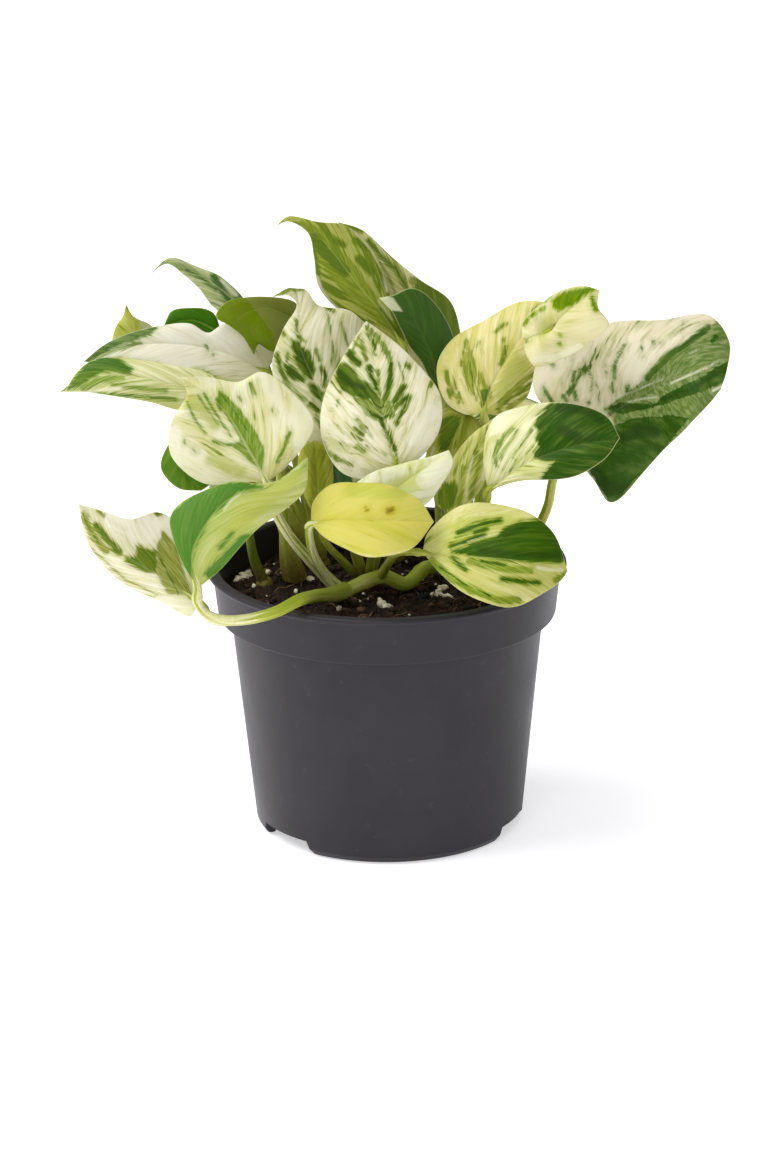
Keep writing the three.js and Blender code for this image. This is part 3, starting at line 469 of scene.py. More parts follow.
# Each leafy stem: its crowns as x, y and top, and the stalks that grow from it
STEMS = {
    "runner": ([(-14, -7, 84), (19, 17, 83)], [
        Stalk(None, 2.4, ((-14, -7, 83), (-6, -5, 86), (-1, -4, 87), (6, -3, 84), (13, 7, 86),
              (19, 17, 82))),
        Stalk("striped", 2.35, ((-14, -7, 83), (-19, -22, 87), (-24, -38, 92), (-29, -52, 95.5),
              (-36, -59, 94.2), (-45, -61.2, 92.6), (-53, -61.4, 92.6), (-58.5, -61.2, 94.8),
              (-61, -61, 98.5)), slim=0.5),
        Stalk("cup", 1.9, ((-41, -61, 92.6), (-47, -61, 92), (-52.5, -60, 91.3),
              (-57, -57.6, 91.7)), sheath=-0.6),
        Stalk("right_front", 1.3, ((-2, -4, 87), (1, -18, 97), (4, -33, 105))),
        Stalk("yellow", 1.5, ((-15, -8, 84), (-19, -12, 89), (-23, -22, 99),
              (-25, -34, 111)), cream=0.5),
        Stalk("front_left", 1.75, ((-16, -8, 84), (-25, -14, 96), (-32, -22, 108),
              (-37, -28, 120)), cream=0.55),
    ]),
    "left_pair": ([(-31, 12, 84)], [
        Stalk("left_upper", 1.7, ((-31, 12, 82), (-33, 9, 92), (-35, 10, 120),
              (-37, 14, 140)), sheath=1.15, husk=18),
        Stalk("low_green", 1.5, ((-30, 11, 82), (-32, 5, 92), (-36, 0, 108),
              (-46, -10, 134)), sheath=1, husk=14),
    ]),
    "left_thin": ([(-41, 12, 83)], [
        Stalk("left_lower", 1.4, ((-41.6, 11.8, 81), (-44, 9.5, 88), (-45.4, 6, 97),
              (-48, -1, 128)), cream=-0.8),
    ]),
    "centre": ([(-7, 9, 84)], [
        Stalk("centre", 1.5, ((-6, 8, 82), (-2, 0, 98), (2, -12, 116))),
        Stalk("white", 1.3, ((-6, 8, 82), (-5, -4, 94), (-5, -22, 108))),
        Stalk("back_left", 1.5, ((-8, 10, 82), (-12, 6, 100), (-14, 1, 118))),
        Stalk("fill_olive", 1.2, ((-9, 9, 82), (-15, -1, 92), (-20, -12, 102))),
        Stalk("fill_dark", 1.2, ((-8, 8, 82), (-11, 0, 96), (-13, -8, 107))),
    ]),
    "right": ([(28, 4, 84)], [
        Stalk("right_mid", 1.5, ((28, 3, 82), (30, -6, 96), (33, -20, 112))),
        Stalk("streaked", 1.3, ((27, 3, 82), (24, -6, 92), (22, -18, 104))),
        Stalk("cream_right", 1.5, ((29, 5, 82), (33, 5, 106), (34, 1, 130))),
        Stalk("hanging", 1.2, ((28, 5, 82), (28, 5, 106), (28, 4, 130))),
        Stalk("small_cup", 1.4, ((30, 5, 82), (31, 12, 108), (38, 15, 132), (50, 14, 152), (58, 9, 166),
              (57, -6, 176))),
    ]),
    "far_right": ([(41, 14, 84)], [
        Stalk("big_right", 1.6, ((41, 14, 82), (50, 11, 97), (54, 6, 108), (55.5, 2, 118),
              (60, -7, 134))),
    ]),
    "back": ([(2, 28, 84)], [
        Stalk("top", 1.6, ((2, 27, 82), (4, 26, 110), (7, 19, 145))),
        Stalk("dark", 1.4, ((3, 26, 82), (11, 20, 110), (18, 14, 134))),
        Stalk("top_back", 1.5, ((4, 29, 82), (14, 30, 108), (20, 26, 130))),
        Stalk("back_high", 1.4, ((1, 29, 82), (-5, 32, 108), (-9, 31, 130))),
        Stalk("back_low", 1.3, ((2, 30, 82), (1, 36, 92))),
    ]),
    "back_left": ([(-22, 30, 84)], [
        Stalk("olive", 1.5, ((-22, 29, 82), (-24, 30, 118), (-27, 24, 154))),
        Stalk("drip", 1.4, ((-23, 30, 82), (-31, 31, 120), (-41, 30, 156))),
        Stalk("dome", 1.4, ((-23, 30, 82), (-37, 31, 120), (-50, 29, 150))),
        Stalk("spike", 1.4, ((-24, 30, 82), (-42, 23, 112), (-64, 17, 138))),
        Stalk("back_long_left", 1.5, ((-24, 30, 82), (-31, 22, 98), (-44, 22, 116), (-50, 28, 130))),
        Stalk("back_mid_left", 1.4, ((-22, 31, 82), (-23, 35, 102))),
        Stalk("back_rim_left", 1.3, ((-24, 30, 82), (-29, 31, 94))),
    ]),
    "back_right": ([(19, 32, 84)], [
        Stalk("back_right", 1.4, ((19, 32, 82), (22, 32, 106))),
        Stalk("back_rim_right", 1.3, ((19, 33, 82), (18, 37, 93))),
    ]),
}

# Markings placed on the blades, by kind. Each row is a half-width in pixels and then the u, v
# of its points in turn. A half-width of 0 makes the points the corners of an area.
MARKS = {
    "top": {
        "deep": [(6, 315, 238, 325, 253, 345, 271), (3, 335, 241, 343, 245), (3, 356, 241, 367, 249),
            (3.5, 359, 259, 372, 272), (2.5, 379, 309, 389, 322, 399, 336), (1.8, 312, 238, 319, 275),
            (1.5, 329, 306, 330, 309)],
        "green": [(0, 276, 226, 303, 221, 330, 232, 352, 262, 380, 300, 402, 338, 380, 325, 350, 300,
             325, 270, 310, 235)],
        "pale": [(3, 316, 278, 320, 290, 330, 304, 341, 314),
            (1.4, 352, 228, 372, 250, 383, 270, 387, 291), (0.6, 378, 300, 392, 320)],
        "lime": [(6, 337, 300, 352, 312, 368, 324)],
    },
    "top_back": {
        "deep": [(2.5, 340, 222, 361, 230), (1.6, 369, 241, 380, 255, 389, 264, 396, 269, 406, 288),
            (0, 418, 278, 431, 283, 446, 295, 457, 312, 463, 340, 456, 352, 448, 330, 440, 312,
             428, 300, 413, 290)],
        "green": [(4, 412, 281, 430, 292, 446, 318), (0.6, 380, 245, 395, 262, 405, 280),
            (0.6, 372, 250, 388, 275, 396, 296)],
        "lime": [(3, 444, 316, 447, 322)],
    },
    "dark": {
        "deep": [(0, 388, 296, 411, 284, 432, 296, 462, 330, 458, 380, 441, 398, 425, 385, 405, 345,
             392, 315)],
        "pale": [(0, 376, 294, 393, 298, 402, 311, 388, 310)],
        "lime": [(1.5, 412, 287, 428, 296)],
    },
    "drip": {
        "deep": [(1.2, 186, 270, 202, 278, 216, 290), (3.5, 214, 277, 229, 300, 243, 300),
            (3.5, 235, 284, 243, 298)],
        "green": [(3, 160, 263, 185, 268, 205, 280)],
        "pale": [(1.6, 221, 280, 229, 288, 236, 295)],
    },
    "spike": {
        "deep": [(2, 126, 304, 126, 308)],
        "pale": [(6, 146, 322, 150, 338)],
        "lime": [(9, 128, 318, 128, 345)],
    },
    "dome": {
        "deep": [(0, 160, 305, 215, 300, 228, 335, 190, 345, 160, 332)],
        "lime": [(3, 166, 320, 170, 322)],
    },
    "olive": {
        # Painted shade: the deep area is the half beyond the midrib fold, which lies in shade, painted a
        # duller olive than the lit half
        "deep": [(0, 243, 294, 270, 290, 304, 298, 306, 345, 284, 354, 274, 347, 273, 335, 262, 320,
             250, 304)],
        "green": [(0, 210, 295, 262, 290, 304, 298, 306, 330, 275, 358, 250, 360, 222, 330)],
    },
    "left_upper": {
        "deep": [(0, 82, 364, 92, 352, 104, 343, 120, 335, 140, 328, 158, 326, 152, 333, 134, 340,
             118, 345, 103, 354, 90, 362), (-0.3, 206, 345, 208, 350)],
        "green": [(2, 96, 358, 116, 350, 140, 343), (1.2, 118, 358, 136, 362, 155, 364),
            (-0.2, 212, 351, 213, 356), (1.2, 204, 371, 218, 380)],
        "lime": [(5, 195, 372, 225, 384, 250, 388)],
    },
    "left_lower": {
        "deep": [(0, 68, 389, 78, 373, 90, 361, 104, 356, 120, 360, 133, 369, 130, 374, 118, 371,
             104, 371, 92, 377, 80, 386), (0.8, 93, 393, 130, 396, 175, 399)],
        "green": [(3, 84, 388, 100, 380, 122, 378), (2, 112, 384, 140, 388, 166, 391)],
        "pale": [(1.2, 82, 393, 100, 390, 120, 388)],
        "lime": [(4, 143, 402, 179, 408)],
    },
    "back_left": {
        "deep": [(0, 292, 340, 299, 343, 306, 351, 312, 361, 314, 370, 311, 378, 304, 375, 298, 365,
             294, 353), (0, 284, 365, 291, 366, 299, 374, 306, 379, 303, 382, 294, 379, 287, 374),
            (1, 277, 354, 280, 366, 285, 378),
            (0, 309, 383, 317, 387, 323, 393, 321, 401, 315, 396, 311, 390), (2, 311, 404, 317, 410),
            (0.6, 284, 332, 285, 335), (1, 299, 337, 304, 341), (0.7, 308, 352, 311, 358),
            (1.2, 322, 368, 325, 376, 323, 386), (1, 327, 308, 333, 311), (0.6, 317, 350, 319, 360)],
        "green": [(2.5, 272, 297, 292, 288, 301, 289), (1.8, 284, 380, 292, 388, 300, 395, 306, 400),
            (1.6, 316, 414, 322, 428, 330, 440), (2, 321, 444, 330, 457, 347, 467),
            (1.4, 296, 321, 297, 331), (0.6, 327, 313, 330, 326, 331, 336), (0.4, 332, 340, 334, 360),
            (0.6, 341, 322, 344, 334, 348, 347), (0.8, 288, 352, 287, 362)],
        "dark": [(2, 303, 355, 310, 370)],
    },
    "centre": {
        "deep": [(0, 337, 366, 346, 364, 354, 370, 360, 379, 370, 386, 378, 394, 378, 401, 366, 399,
             352, 394, 342, 391, 337, 382), (1.8, 364, 408, 372, 415, 382, 418, 391, 415),
            (1.6, 372, 402, 380, 408, 386, 406), (2, 369, 368, 372, 377, 376, 388),
            (2.2, 391, 364, 391, 376, 388, 388, 385, 400), (2, 404, 387, 399, 395, 394, 402),
            (2, 408, 397, 401, 403, 395, 407), (1.1, 408, 399, 403, 411, 396, 423),
            (2.6, 350, 353, 353, 359, 359, 363), (0.9, 373, 340, 375, 350),
            (1.5, 380, 420, 386, 430, 391, 440, 395, 450), (0.5, 357, 420, 362, 425, 367, 428),
            (0.7, 355, 428, 363, 434), (0.7, 357, 446, 365, 451), (1.1, 407, 365, 408, 367)],
        "green": [(0, 354, 398, 366, 397, 378, 399, 391, 401, 394, 412, 391, 419, 378, 422, 366, 416),
            (1.6, 377, 370, 379, 386, 380, 398),
            (2.8, 368, 328, 376, 337, 384, 347, 389, 358, 391, 366), (1, 352, 351, 356, 344, 360, 335),
            (2, 361, 341, 364, 350, 366, 360), (1.4, 369, 333, 373, 344, 375, 355),
            (1.3, 386, 420, 390, 432, 395, 446, 397, 460), (0.9, 352, 434, 361, 440),
            (1.2, 341, 442, 348, 447), (0.6, 366, 446, 376, 450, 386, 456), (0.6, 364, 424, 372, 436),
            (1, 338, 400, 338, 406), (2, 320, 440, 328, 451, 338, 460, 352, 465),
            (0.5, 398, 362, 404, 380, 400, 394)],
        "pale": [(6, 412, 440, 430, 410)],
        "lime": [(2, 330, 440, 345, 450)],
        "dark": [(2, 340, 372, 350, 384, 364, 388)],
    },
    "front_left": {
        "deep": [(1, 221, 394, 236, 414, 250, 434), (1.2, 217, 399, 221, 408)],
        "green": [(0, 219, 391, 228, 397, 240, 410, 250, 423, 258, 436, 264, 448, 264, 459, 262, 470,
             250, 461, 240, 451, 232, 446, 239, 443, 239, 436, 231, 424, 222, 409, 217, 401),
            (1, 204, 394, 212, 408, 222, 423, 231, 436), (0.8, 198, 396, 209, 412, 218, 424),
            (1, 187, 402, 194, 418, 205, 433), (1.2, 213, 441, 225, 445, 238, 444),
            (0.8, 184, 440, 185, 443), (0.5, 193, 449, 196, 452), (1.6, 287, 437, 287, 442),
            (1.4, 290, 433, 284, 447, 280, 456, 277, 462), (0.7, 272, 409, 272.5, 412),
            (1.8, 250, 384, 254, 394), (0.8, 239, 397, 241, 401)],
        "pale": [(7, 298, 400, 303, 425), (5, 176, 430, 176, 450)],
        "lime": [(6, 190, 400, 215, 425), (5, 210, 460, 240, 472)],
    },
    "low_green": {
        "deep": [(0, 160, 415, 240, 405, 240, 480, 205, 495, 160, 490)],
        "lime": [(1.4, 175, 440, 180, 465, 192, 486)],
    },
    "striped": {
        "deep": [(0, 207, 486, 181, 505, 169, 516, 172, 532, 179, 565, 193, 594, 191, 566, 194, 550,
             203, 534, 211, 518, 224, 507, 237, 492, 262, 487, 243, 482),
            (1.4, 220, 547, 226, 540, 232, 533),
            (0, 254, 534, 246, 548, 229, 564, 210, 578, 204, 574, 216, 561, 228, 549, 241, 536)],
        # The pale line is partly the blade's own pale mottling and partly a painted highlight
        "pale": [(1, 240, 494, 231, 501, 224, 510)],
        "lime": [(1.6, 183, 500, 206, 488, 240, 482), (10, 290, 478, 250, 510, 215, 560)],
    },
    "cup": {
        "deep": [(0.6, 98, 511, 114, 524, 125, 530), (1, 83, 514, 90, 530, 100, 544),
            (2.6, 96, 526, 110, 543, 119, 552),
            (0, 138, 546, 145, 550, 156, 552, 156, 572, 146, 571, 125, 561, 126, 557, 137, 558),
            (1.2, 160, 560, 170, 578, 178, 592), (2, 156, 513, 160, 512)],
        "green": [(3.6, 84, 516, 92, 534, 106, 550),
            (0, 158, 543, 163, 531, 175, 546, 184, 572, 191, 594, 168, 594, 160, 579, 155, 571),
            (0.5, 88, 545, 125, 579, 163, 597)],
        "pale": [(8, 112, 520, 145, 536), (5, 160, 600, 190, 604)],
        "lime": [(1.6, 162, 545, 172, 565, 184, 588), (1.3, 167, 542, 177, 562, 187, 585)],
    },
    "yellow": {
        "deep": [(2.2, 389, 511, 392, 510), (0.9, 366.5, 509, 367, 510)],
        "pale": [(0.6, 326, 541, 345, 551, 374, 557, 408, 551)],
        "lime": [(6, 352, 490, 400, 494)],
    },
    "white": {
        "pale": [(9, 425, 480, 445, 462)],
        "lime": [(7, 379, 490, 400, 484, 416, 480)],
    },
    "right_front": {
        "deep": [(2, 459, 533, 472, 527, 486, 523, 500, 521), (1.8, 452, 546, 468, 541, 484, 536),
            (1.4, 475, 533, 486, 529),
            (0, 452, 552, 470, 545, 485, 541, 497, 537, 505, 528, 520, 522, 540, 520, 552, 526,
             560, 540, 564, 558, 560, 563, 540, 562, 500, 560, 480, 557, 462, 554),
            (1.6, 452, 557, 459, 564, 466, 570), (1.2, 482, 561, 505, 566),
            (1.9, 502, 579, 520, 581, 538, 583), (0.8, 440, 567, 462, 583, 490, 596)],
        "green": [(1.2, 456, 538, 478, 529, 502, 522), (3, 470, 562, 495, 568, 530, 571),
            (3.4, 432, 561, 450, 577, 475, 592, 500, 600, 518, 600), (3, 556, 580, 566, 575)],
        "pale": [(0.3, 468, 542, 484, 537, 498, 534), (1.8, 538, 568, 550, 570, 562, 570)],
        "lime": [(0, 436, 542, 448, 528, 470, 518, 500, 514, 524, 518, 500, 528, 470, 540, 447, 547),
            (4, 539, 535, 543, 541)],
        "dark": [(3, 480, 551, 520, 555, 558, 556), (2, 505, 535, 525, 527)],
    },
    "right_mid": {
        "deep": [(0, 551, 404, 544, 411, 538, 417, 536, 424, 540, 431, 537, 438, 540, 447, 535, 452,
             537, 458, 546, 460, 556, 461, 549, 468, 545, 473, 541, 481, 600, 480, 632, 438, 608, 400,
             575, 400)],
        "green": [(1.6, 513, 428, 504, 438, 498, 450, 496, 463), (1.1, 517, 430, 508, 444, 500, 459),
            (1, 498, 440, 495, 455, 497, 466), (0.5, 503, 470, 517, 450, 532, 430),
            (0.5, 506, 474, 522, 458, 534, 446), (0.8, 513, 455, 514, 458),
            (1, 545, 420, 543, 440, 545, 452)],
        "pale": [(0, 490, 436, 494, 418, 520, 402, 530, 404, 520, 418, 504, 432)],
        "dark": [(4, 560, 408, 585, 410, 600, 420), (5, 562, 430, 578, 438), (2, 585, 440, 596, 436)],
    },
    "streaked": {
        "deep": [(1.8, 476, 452, 471, 461, 468, 470),
            (0, 438, 492, 444, 484, 455, 482, 459, 490, 457, 505, 446, 510, 436, 504)],
        "green": [(2, 481, 455, 477, 470, 473, 486, 470, 497), (2.4, 463, 468, 461, 488, 459, 504),
            (1, 488, 428, 481, 444, 472, 455), (0.8, 472, 440, 462, 458, 453, 474)],
        "pale": [(0.8, 473, 456, 468, 475, 466, 495), (2.5, 486, 462, 484, 478)],
        "lime": [(3, 450, 500, 452, 508)],
    },
    "cream_right": {
        "deep": [(1, 468, 356, 471, 370, 473, 386), (0.8, 467, 341, 468, 350),
            (0, 481, 391, 490, 388, 490, 397, 486, 402, 482, 400), (0.8, 482, 403, 484, 408),
            (0.7, 446, 372, 450, 383, 453, 392, 460, 402), (0.8, 448, 391, 451, 397),
            (0.7, 496, 332, 506, 324), (1, 506, 347, 504, 355), (0.9, 503, 359, 500, 364),
            (0.6, 503, 340, 503.5, 341), (1.2, 530, 384, 514, 396, 498, 409)],
        "green": [(0, 463, 352, 471, 350, 475, 361, 477, 373, 475, 385, 475, 396, 471, 395, 467, 386,
             463, 377, 461, 365), (2, 480, 374, 484, 384, 488, 390),
            (0.8, 478, 372, 478, 388, 477, 400), (0.8, 452, 376, 457, 390, 463, 403),
            (0.9, 476, 347, 479, 342), (3, 533, 374, 516, 388, 500, 403), (2, 526, 396, 508, 408),
            (0.7, 530, 312, 540, 305)],
        "lime": [(10, 505, 352, 518, 368, 505, 392), (4, 488, 405, 490, 422)],
    },
    "hanging": {
        "deep": [(0, 442, 420, 452, 415, 460, 418, 459, 428, 452, 441, 446, 452, 439, 450, 440, 434)],
        "green": [(3, 468, 418, 462, 434, 456, 446)],
        "pale": [(1, 434, 448, 431, 458)],
        "lime": [(1.6, 462, 420, 456, 440)],
    },
    "small_cup": {
        "deep": [(0, 553, 301, 560, 295, 572, 291, 588, 288, 596, 289, 585, 294, 577, 301, 568, 306,
             558, 310, 554, 306), (0.8, 524, 324, 527, 320), (0.9, 531, 316, 536, 312),
            (0.8, 541, 310, 543, 308), (1.1, 592, 297, 593, 304, 596, 310),
            (0.7, 560, 335, 560.5, 335.5), (0.7, 559.5, 344, 560, 344.5), (0.8, 558.5, 357, 559, 357.5),
            (0.9, 525, 341, 526.5, 341.5)],
        "green": [(1.5, 540, 304, 547, 298, 555, 291)],
        # Painted light: the pale band makes the outside of the rolled front lip brighter than the inside of
        # the cup above it
        "pale": [(3, 534, 360, 558, 357, 580, 346)],
        "lime": [(5, 545, 324, 543, 333), (2, 552, 318, 548, 330)],
    },
    "big_right": {
        "deep": [(2.6, 709, 328, 692, 341, 670, 355, 657, 369, 648, 378),
            (0, 606, 409, 620, 402, 640, 404, 656, 403, 664, 395, 684, 385, 702, 377, 716, 367,
             729, 361, 728, 378, 716, 386, 700, 393, 680, 399, 660, 406, 640, 410, 622, 415),
            (0, 617, 424, 640, 417, 672, 415, 690, 418, 672, 440, 650, 465, 634, 480, 612, 506,
             588, 468, 602, 455), (2, 712, 342, 716, 337), (0.2, 549, 361, 554, 366),
            (0.3, 544, 388, 549, 397, 553, 403), (0.35, 574, 372, 573, 381), (0.35, 575, 392, 576, 400),
            (0.3, 581, 370, 583, 373), (0.35, 625, 345, 620, 353, 616, 362), (0.35, 615, 366, 615, 378),
            (0.2, 606, 372, 606.5, 373), (0.35, 653, 341, 654, 344), (0.4, 628, 386, 627, 391),
            (0.1, 563, 396, 567, 402), (0.2, 588, 402, 589, 403)],
        "green": [(0, 718, 321, 702, 331, 690, 339, 680, 346, 668, 353, 660, 358, 655, 367, 646, 379,
             636, 386, 622, 396, 606, 409, 616, 424, 590, 460, 612, 510, 660, 470, 735, 395, 735, 335),
            (5, 604, 462, 626, 468, 640, 462), (0.3, 573, 382, 573, 394),
            (0.8, 590, 372, 592, 384, 591, 390), (0.2, 586, 362, 586, 372), (0.2, 611, 352, 608, 356),
            (0.2, 606, 364, 604, 370), (0.4, 642, 347, 643, 357), (0.3, 659, 342, 662, 344),
            (0.35, 684, 323, 681, 332), (1.2, 611, 387, 614, 392), (0.1, 596, 394, 600, 402),
            (0.1, 560, 380, 564, 388)],
        "pale": [(0.2, 622, 396, 634, 391, 648, 385, 663, 379), (0.4, 628, 402, 642, 399, 658, 397),
            (0.8, 672, 383, 690, 375, 706, 368), (0.6, 706, 369, 718, 361),
            (0.9, 713, 391, 722, 386, 729, 380), (0.3, 690, 354, 699, 349)],
        "lime": [(1, 618, 419, 650, 412, 690, 403)],
        "dark": [(6, 626, 436, 640, 430, 654, 432), (7, 594, 472, 606, 488, 622, 490),
            (1.5, 610, 406, 640, 408, 656, 406), (2, 662, 399, 690, 390, 716, 374)],
    },
    "fill_olive": {
        "green": [(7, 318, 455, 318, 515)],
    },
    "fill_dark": {
        "deep": [(14, 335, 455, 345, 505)],
    },
}

# The colours and the marbling of each blade
LOOKS = {
    "top": Look("a6ac4e", "bcc074", 0.3, 0.45, 0.4, "8c9a34", "5c7426", tear=0.7),
    "top_back": Look("e6e2b8", "c2c478", 0.45, 0.0, 0.6, "8c9840", "62782a", tear=0.6),
    "dark": Look("e6e2b8", "c3cd7c", 0.3, 0.0, 0.0, "66863c", "3f6226", tear=0.4, fade=0.3, rib=0.06),
    "drip": Look("d6d8b4", "a9b57a", 0.5, 0.26, 0.5, "8fa266", "4c6a34", tear=0.8),
    "spike": Look("d8da90", "b9c054", 0.5, 0.1, 0.3, "a3ab4c", "6c8430"),
    "dome": Look("c9d27e", "a4b84e", 0.4, 0.2, 0.2, "5a8a22", "3e6e1a", tear=0.4, fade=0.3, rib=0.25),
    # The olive blade's deep colour, a duller olive, serves as painted shade for the half beyond its midrib
    # fold
    "olive": Look("a9b43c", "8c9c2c", 0.5, 0.1, 0.2, "5f7808", "7f8642", tear=0.6, fade=0.0, rib=0.1),
    "left_upper": Look("f5f2e6", "e3dfc2", 0.36, 0.0, 0.2, "93a860", "55703a", tear=0.7, rib=0.0),
    "left_lower": Look("eceac6", "c5c980", 0.45, 0.1, 0.5, "93a850", "456c26", tear=0.8),
    "back_left": Look("efebd2", "d0cd9a", 0.42, 0.03, 0.35, tear=0.6, rib=0.15),
    "centre": Look("f2eed6", "dbd6a0", 0.36, 0.02, 0.4, tear=0.7, rib=0.12),
    "front_left": Look("f6f3d6", "dedc98", 0.44, 0.0, 0.3, "7d9a30", "5c8028", tear=0.35),
    "low_green": Look("b9c058", "9fa83e", 0.5, 0.2, 0.2, "8a9c40", "4f7a26", tear=0.5),
    "striped": Look("ccd48c", "aeba60", 0.5, 0.03, 0.4, "98ac58", "558636", tear=0.5, fade=0.25),
    "cup": Look("faf7e6", "dfdeaa", 0.36, 0.0, 0.35, "a2a550", "5c7a22", tear=0.6, rib=0.15),
    "yellow": Look("d6cf70", "cac658", 0.38, 0.0, 0.0, "b9ad3c", "8a7a30", tear=0.5, rib=0.06),
    "white": Look("ebebd2", "cfd48c", 0.4, 0.0, 0.12, rib=0.1),
    "right_front": Look("dcd898", "c2c26a", 0.5, 0.04, 0.4, "8a9c36", "30580a", tear=0.6, fade=0.2),
    "right_mid": Look("eeecc8", "d0d288", 0.45, 0.04, 0.5, "92a552", "214c06", tear=0.6, fade=0.25,
        rib=0.12),
    "streaked": Look("e4e1a8", "c0c260", 0.5, 0.1, 0.7, "94a03c", "5c7824"),
    "cream_right": Look("f0eac0", "d8d17c", 0.5, 0.0, 0.35, "98a040", "607c2c", tear=0.8),
    "hanging": Look("c5c766", "979d34", 0.5, 0.26, 0.5, "8d9632", "50701e", tear=0.8),
    "small_cup": Look("e6e0b6", "d2cd8c", 0.4, 0.0, 0.15, "8fa62c", "587c10", tear=0.4, rib=0.2),
    "big_right": Look("e3ddc6", "cdc8a2", 0.42, 0.06, 0.32, "6f8642", "2b500c", tear=0.4, fade=0.42,
        rib=0.08),
    "fill_olive": Look("b3b544", "98a03a", 0.5, 0.2, 0.3, "8d9232", "6c7a26"),
    "fill_dark": Look("8fa07a", "6f8656", 0.5, 0.2, 0.3, "66845a", "486a44"),
    "back_long_left": Look("e8e4bc", "c2c67e", 0.4, 0.44, 0.5),
    "back_mid_left": Look("ece8c6", "d2d090", 0.4, 0.3, 0.5),
    "back_right": Look("e0dda4", "b9c06a", 0.45, 0.48, 0.5),
    "back_high": Look("c8d07c", "a2b04c", 0.5, 0.64, 0.4),
    "back_low": Look("e9e5bc", "cfcf86", 0.4, 0.32, 0.5),
    "back_rim_left": Look("cad27e", "a9b656", 0.5, 0.58, 0.4),
    "back_rim_right": Look("e5e1b0", "c4c878", 0.4, 0.4, 0.5),
}


def unit(vector):
    length = np.linalg.norm(vector, axis=-1, keepdims=True)
    return vector / np.maximum(length, TINY)


def polar(radius, turn):
    return radius * math.cos(turn), radius * math.sin(turn)


def smooth_line(points, dense=24):
    """A centripetal Catmull-Rom curve through points, as a function of the share of its length."""
    knots = np.asarray(points, float)
    knots = np.vstack([2 * knots[0] - knots[1], knots, 2 * knots[-1] - knots[-2]])
    line = []
    for before, start, end, after in zip(knots, knots[1:], knots[2:], knots[3:]):
        gaps = [max(np.linalg.norm(b - a), 1e-6) ** 0.5
                for a, b in ((before, start), (start, end), (end, after))]
        leave = (start - before) / gaps[0] - (end - before) / (gaps[0] + gaps[1]) + (end - start) / gaps[1]
        arrive = (end - start) / gaps[1] - (after - start) / (gaps[1] + gaps[2]) + (after - end) / gaps[2]
        t = np.linspace(0, 1, dense, endpoint=False)[:, None]
        line.append((2 * t ** 3 - 3 * t ** 2 + 1) * start + (t ** 3 - 2 * t ** 2 + t) * leave * gaps[1]
                    + (3 * t ** 2 - 2 * t ** 3) * end + (t ** 3 - t ** 2) * arrive * gaps[1])
    line = np.vstack(line + [knots[-2][None]])
    run = line_run(line)

    def at(share):
        where = np.clip(np.asarray(share, float), 0, 1) * run[-1]
        return np.stack([np.interp(where, run, line[:, k]) for k in range(3)], -1)

    at.length = run[-1]
    return at


def line_run(line):
    """How far along a line of points each point lies."""
    steps = np.linalg.norm(np.diff(line, axis=0), axis=1)
    return np.concatenate([[0], np.cumsum(steps)])


def tangent(curve, share):
    ahead = curve(np.clip(share + 0.01, 0, 1))
    behind = curve(np.clip(share - 0.01, 0, 1))
    return unit(ahead - behind)


# The view as axes and an eye, in millimetres
FORWARD = np.array([0, math.cos(VIEW_ELEVATION), -math.sin(VIEW_ELEVATION)])
LEVEL_RIGHT = np.array([1.0, 0, 0])
LEVEL_UP = np.array([0, math.sin(VIEW_ELEVATION), math.cos(VIEW_ELEVATION)])
RIGHT = math.cos(VIEW_ROLL) * LEVEL_RIGHT + math.sin(VIEW_ROLL) * LEVEL_UP
UP = math.cos(VIEW_ROLL) * LEVEL_UP - math.sin(VIEW_ROLL) * LEVEL_RIGHT
EYE = np.array(VIEW_TARGET) - FORWARD * VIEW_DISTANCE


def ray_through(u, v):
    across = RIGHT * (u - VIEW_CENTRE_PX[0]) / VIEW_FOCAL_PX
    rise = UP * (VIEW_CENTRE_PX[1] - v) / VIEW_FOCAL_PX
    return FORWARD + across + rise


def seen_at(u, v, axis, value):
    """The point seen at a pixel whose coordinate along one axis has a given value."""
    ray = ray_through(u, v)
    return EYE + ray * (value - EYE[axis]) / ray[axis]


def seen_on_half(u, v, rib_points, facing):
    ray = ray_through(u, v)
    missed = np.linalg.norm(unit(rib_points - EYE) - unit(ray), axis=1)
    nearest = rib_points[np.argmin(missed)]
    return EYE + ray * ((nearest - EYE) @ facing) / (ray @ facing)


def to_pixels(points):
    away = points - EYE
    depth = away @ FORWARD
    u = VIEW_CENTRE_PX[0] + VIEW_FOCAL_PX * (away @ RIGHT) / depth
    v = VIEW_CENTRE_PX[1] - VIEW_FOCAL_PX * (away @ UP) / depth
    return np.stack([u, v], -1)


def blade_curves(name):
    """A blade's midrib and two margins as curves."""
    seen = name in SEEN_BLADES
    blade = SEEN_BLADES[name] if seen else HIDDEN_BLADES[name]
    rib = [seen_at(u, v, Y, depth) if seen else np.array((u, v, depth), float) for u, v, depth in blade.rib]
    rib_curve = smooth_line(rib)
    samples = rib_curve(np.linspace(0, 1, RIB_SAMPLES + 1))
    margins = []
    for half, side in enumerate((blade.left, blade.right)):
        points = [seen_on_half(*point, samples, np.array(blade.facing[half])) if seen
                  else np.array(point, float) for point in side]
        margins.append(smooth_line([rib[0], *points, rib[-1]]))
    return rib_curve, margins, blade


def line_distance(points, line):
    """Distance from each point to a line of pixels."""
    best = np.full(len(points), np.inf)
    for start, end in zip(line, line[1:]):
        start = np.array(start, float)
        along = np.array(end, float) - start
        share = np.clip((points - start) @ along / max(along @ along, TINY), 0, 1)
        best = np.minimum(best, np.linalg.norm(points - start - share[:, None] * along, axis=1))
    return best


